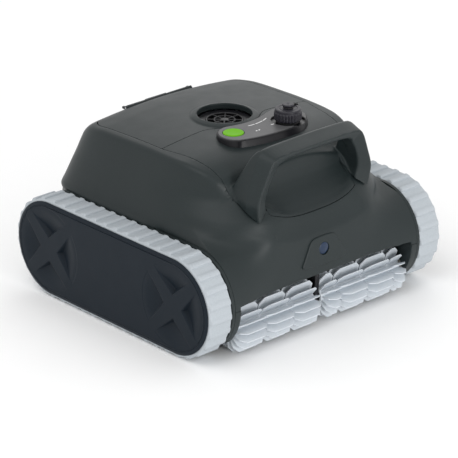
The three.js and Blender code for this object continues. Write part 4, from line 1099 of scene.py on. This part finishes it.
def details():
    cast("outlet_guard", guard_field, (-38.6, -30.6, 240.9), (38.6, 46.6, 247.6), 0.5,
         "lid", "dark_plastic", "outlet_grille")
    cast("panel_skirt", panel_base_field, (-70.2, -99.2, 237.3), (84.3, -26.2, 256.5), 0.75,
         "body", "dark_plastic", "panel_base")
    cast("panel_face", panel_plate_field, (-67.2, -97.2, 253.1), (82.3, -27.2, 256.7), 0.6,
         "body", "panel_grey", "panel_plate")
    cast("start_button", button_field, (-59.1, -73.1, 239.5), (-28.1, -42.1, 257.5), 0.55,
         "button", "green_plastic", "power_button")
    cast("ribbed_cap", cap_field, (25.1, -92.1, 256.1), (65.1, -52.1, 280.1), 0.5,
         "cap", "dark_plastic", "charge_cap", look="cap_plastic")
    cast("sensor_bump", bezel_field, (-43.1, -198.6, 91.6), (43.1, -183.1, 135.1), 0.7,
         "body", "shell", "sensor_bezel")
    cast("sensor_window", lens_field, (-9.3, -195.2, 105.6), (9.3, -187.4, 124.4), 0.5,
         "body", "lens", "sensor_lens")
    cast("basket_frame", basket_field, (-113.2, 44.9, 45.2), (113.2, 113.1, 232.2), 1.3,
         "basket", "nylon", "filter_basket")
    cast("filter_cloth", cloth_field, (-110.6, 46.1, 50.9), (110.6, 112.1, 227.1), 1.0,
         "basket", "filter_fabric", "filter_mesh")
    cast("brush_bracket", bracket_field, (-5.1, -181.3, 25.1), (5.1, -156.7, 79.7), 0.8,
         "body", "dark_plastic", "brush_centre_bracket")
    cast("intake_edge", lip_field, (-68.4, 54.1, 12.1), (68.4, 99.9, 24.9), 0.9,
         "body", "black_rubber", "intake_lip")
    cast("tray_screws", screw_field, (-155.2, -115.3, 22.1), (155.2, 155.4, 26.6), 0.6,
         "body", "steel")
    for side, sign in SIDES:
        low, high = sorted((sign * 177.1, sign * 220.9))
        cast(side + "_cover_plate", cover_field(sign), (low, -200.2, 3.9), (high, 200.2, 145.6),
             1.0, "body", "cover_grey", side + "_side_cover")
        low, high = sorted((sign * 171.7, sign * 178.1))
        cast(side + "_frame_plate", frame_field(sign), (low, -202.9, 1.4), (high, 202.9, 148),
             1.25, "body", "shell", side + "_side_frame")
        belt = track(sign, side + "_belt")
        finish_piece(belt, "body", MATERIALS["track_rubber"], "track_rubber", side + "_track")
        roller = brush(sign, side + "_brush_roller")
        # the brush flaps take the lighter copy of the track rubber, whose extra brightness is painted
        # light
        finish_piece(roller, side + "_brush", MATERIALS["brush_rubber_painted_light"], "track_rubber",
                     side + "_brush_flaps")
    tether()
    printed_marks()


# ------------------------------------------------------------------ camera, light and floor
CAMERA_AT = Vector((-2.6047, -2.8429, 1.7407))
VIEW = Vector((0.6207, 0.6772, -0.3951))
LENS, SENSOR_WIDTH = 234.7, 36.0


def studio():
    camera = bpy.data.cameras.new("camera")
    camera.lens, camera.sensor_width = LENS, SENSOR_WIDTH
    camera.clip_end = 50
    eye = bpy.data.objects.new("camera", camera)
    eye.location = CAMERA_AT
    eye.rotation_euler = VIEW.to_track_quat("-Z", "Y").to_euler()
    bpy.context.scene.collection.objects.link(eye)
    bpy.context.scene.camera = eye

    bpy.ops.mesh.primitive_plane_add(size=12, location=(0, 0, 0))
    floor = bpy.context.object
    floor.name = "floor"
    pale = material("floor_pale", (0.97, 0.97, 0.97), 0.9, grain=0.0, patch=0.01)
    floor.data.materials.append(pale)

    world = bpy.context.scene.world or bpy.data.worlds.new("world")
    bpy.context.scene.world = world
    world.use_nodes = True
    sky = world.node_tree.nodes["Background"]
    sky.inputs["Color"].default_value = (1, 1, 1, 1)
    sky.inputs["Strength"].default_value = 0.9
    bpy.context.scene.view_settings.view_transform = "Standard"

    target = Vector((0, 0, 0.1))
    for name, place, size, power in (
        ("top", (-1.3, -0.2, 2.2), 1.6, 11),
        ("front", (-0.25, -2.5, 0.4), 0.9, 24),
        ("rim", (1.8, 1.4, 1.6), 1.4, 5),
    ):
        light = bpy.data.lights.new(name, "AREA")
        light.energy, light.size = power, size
        lamp = bpy.data.objects.new(name, light)
        lamp.location = place
        lamp.rotation_euler = (target - Vector(place)).to_track_quat("-Z", "Y").to_euler()
        bpy.context.scene.collection.objects.link(lamp)


studio()
casings()
details()
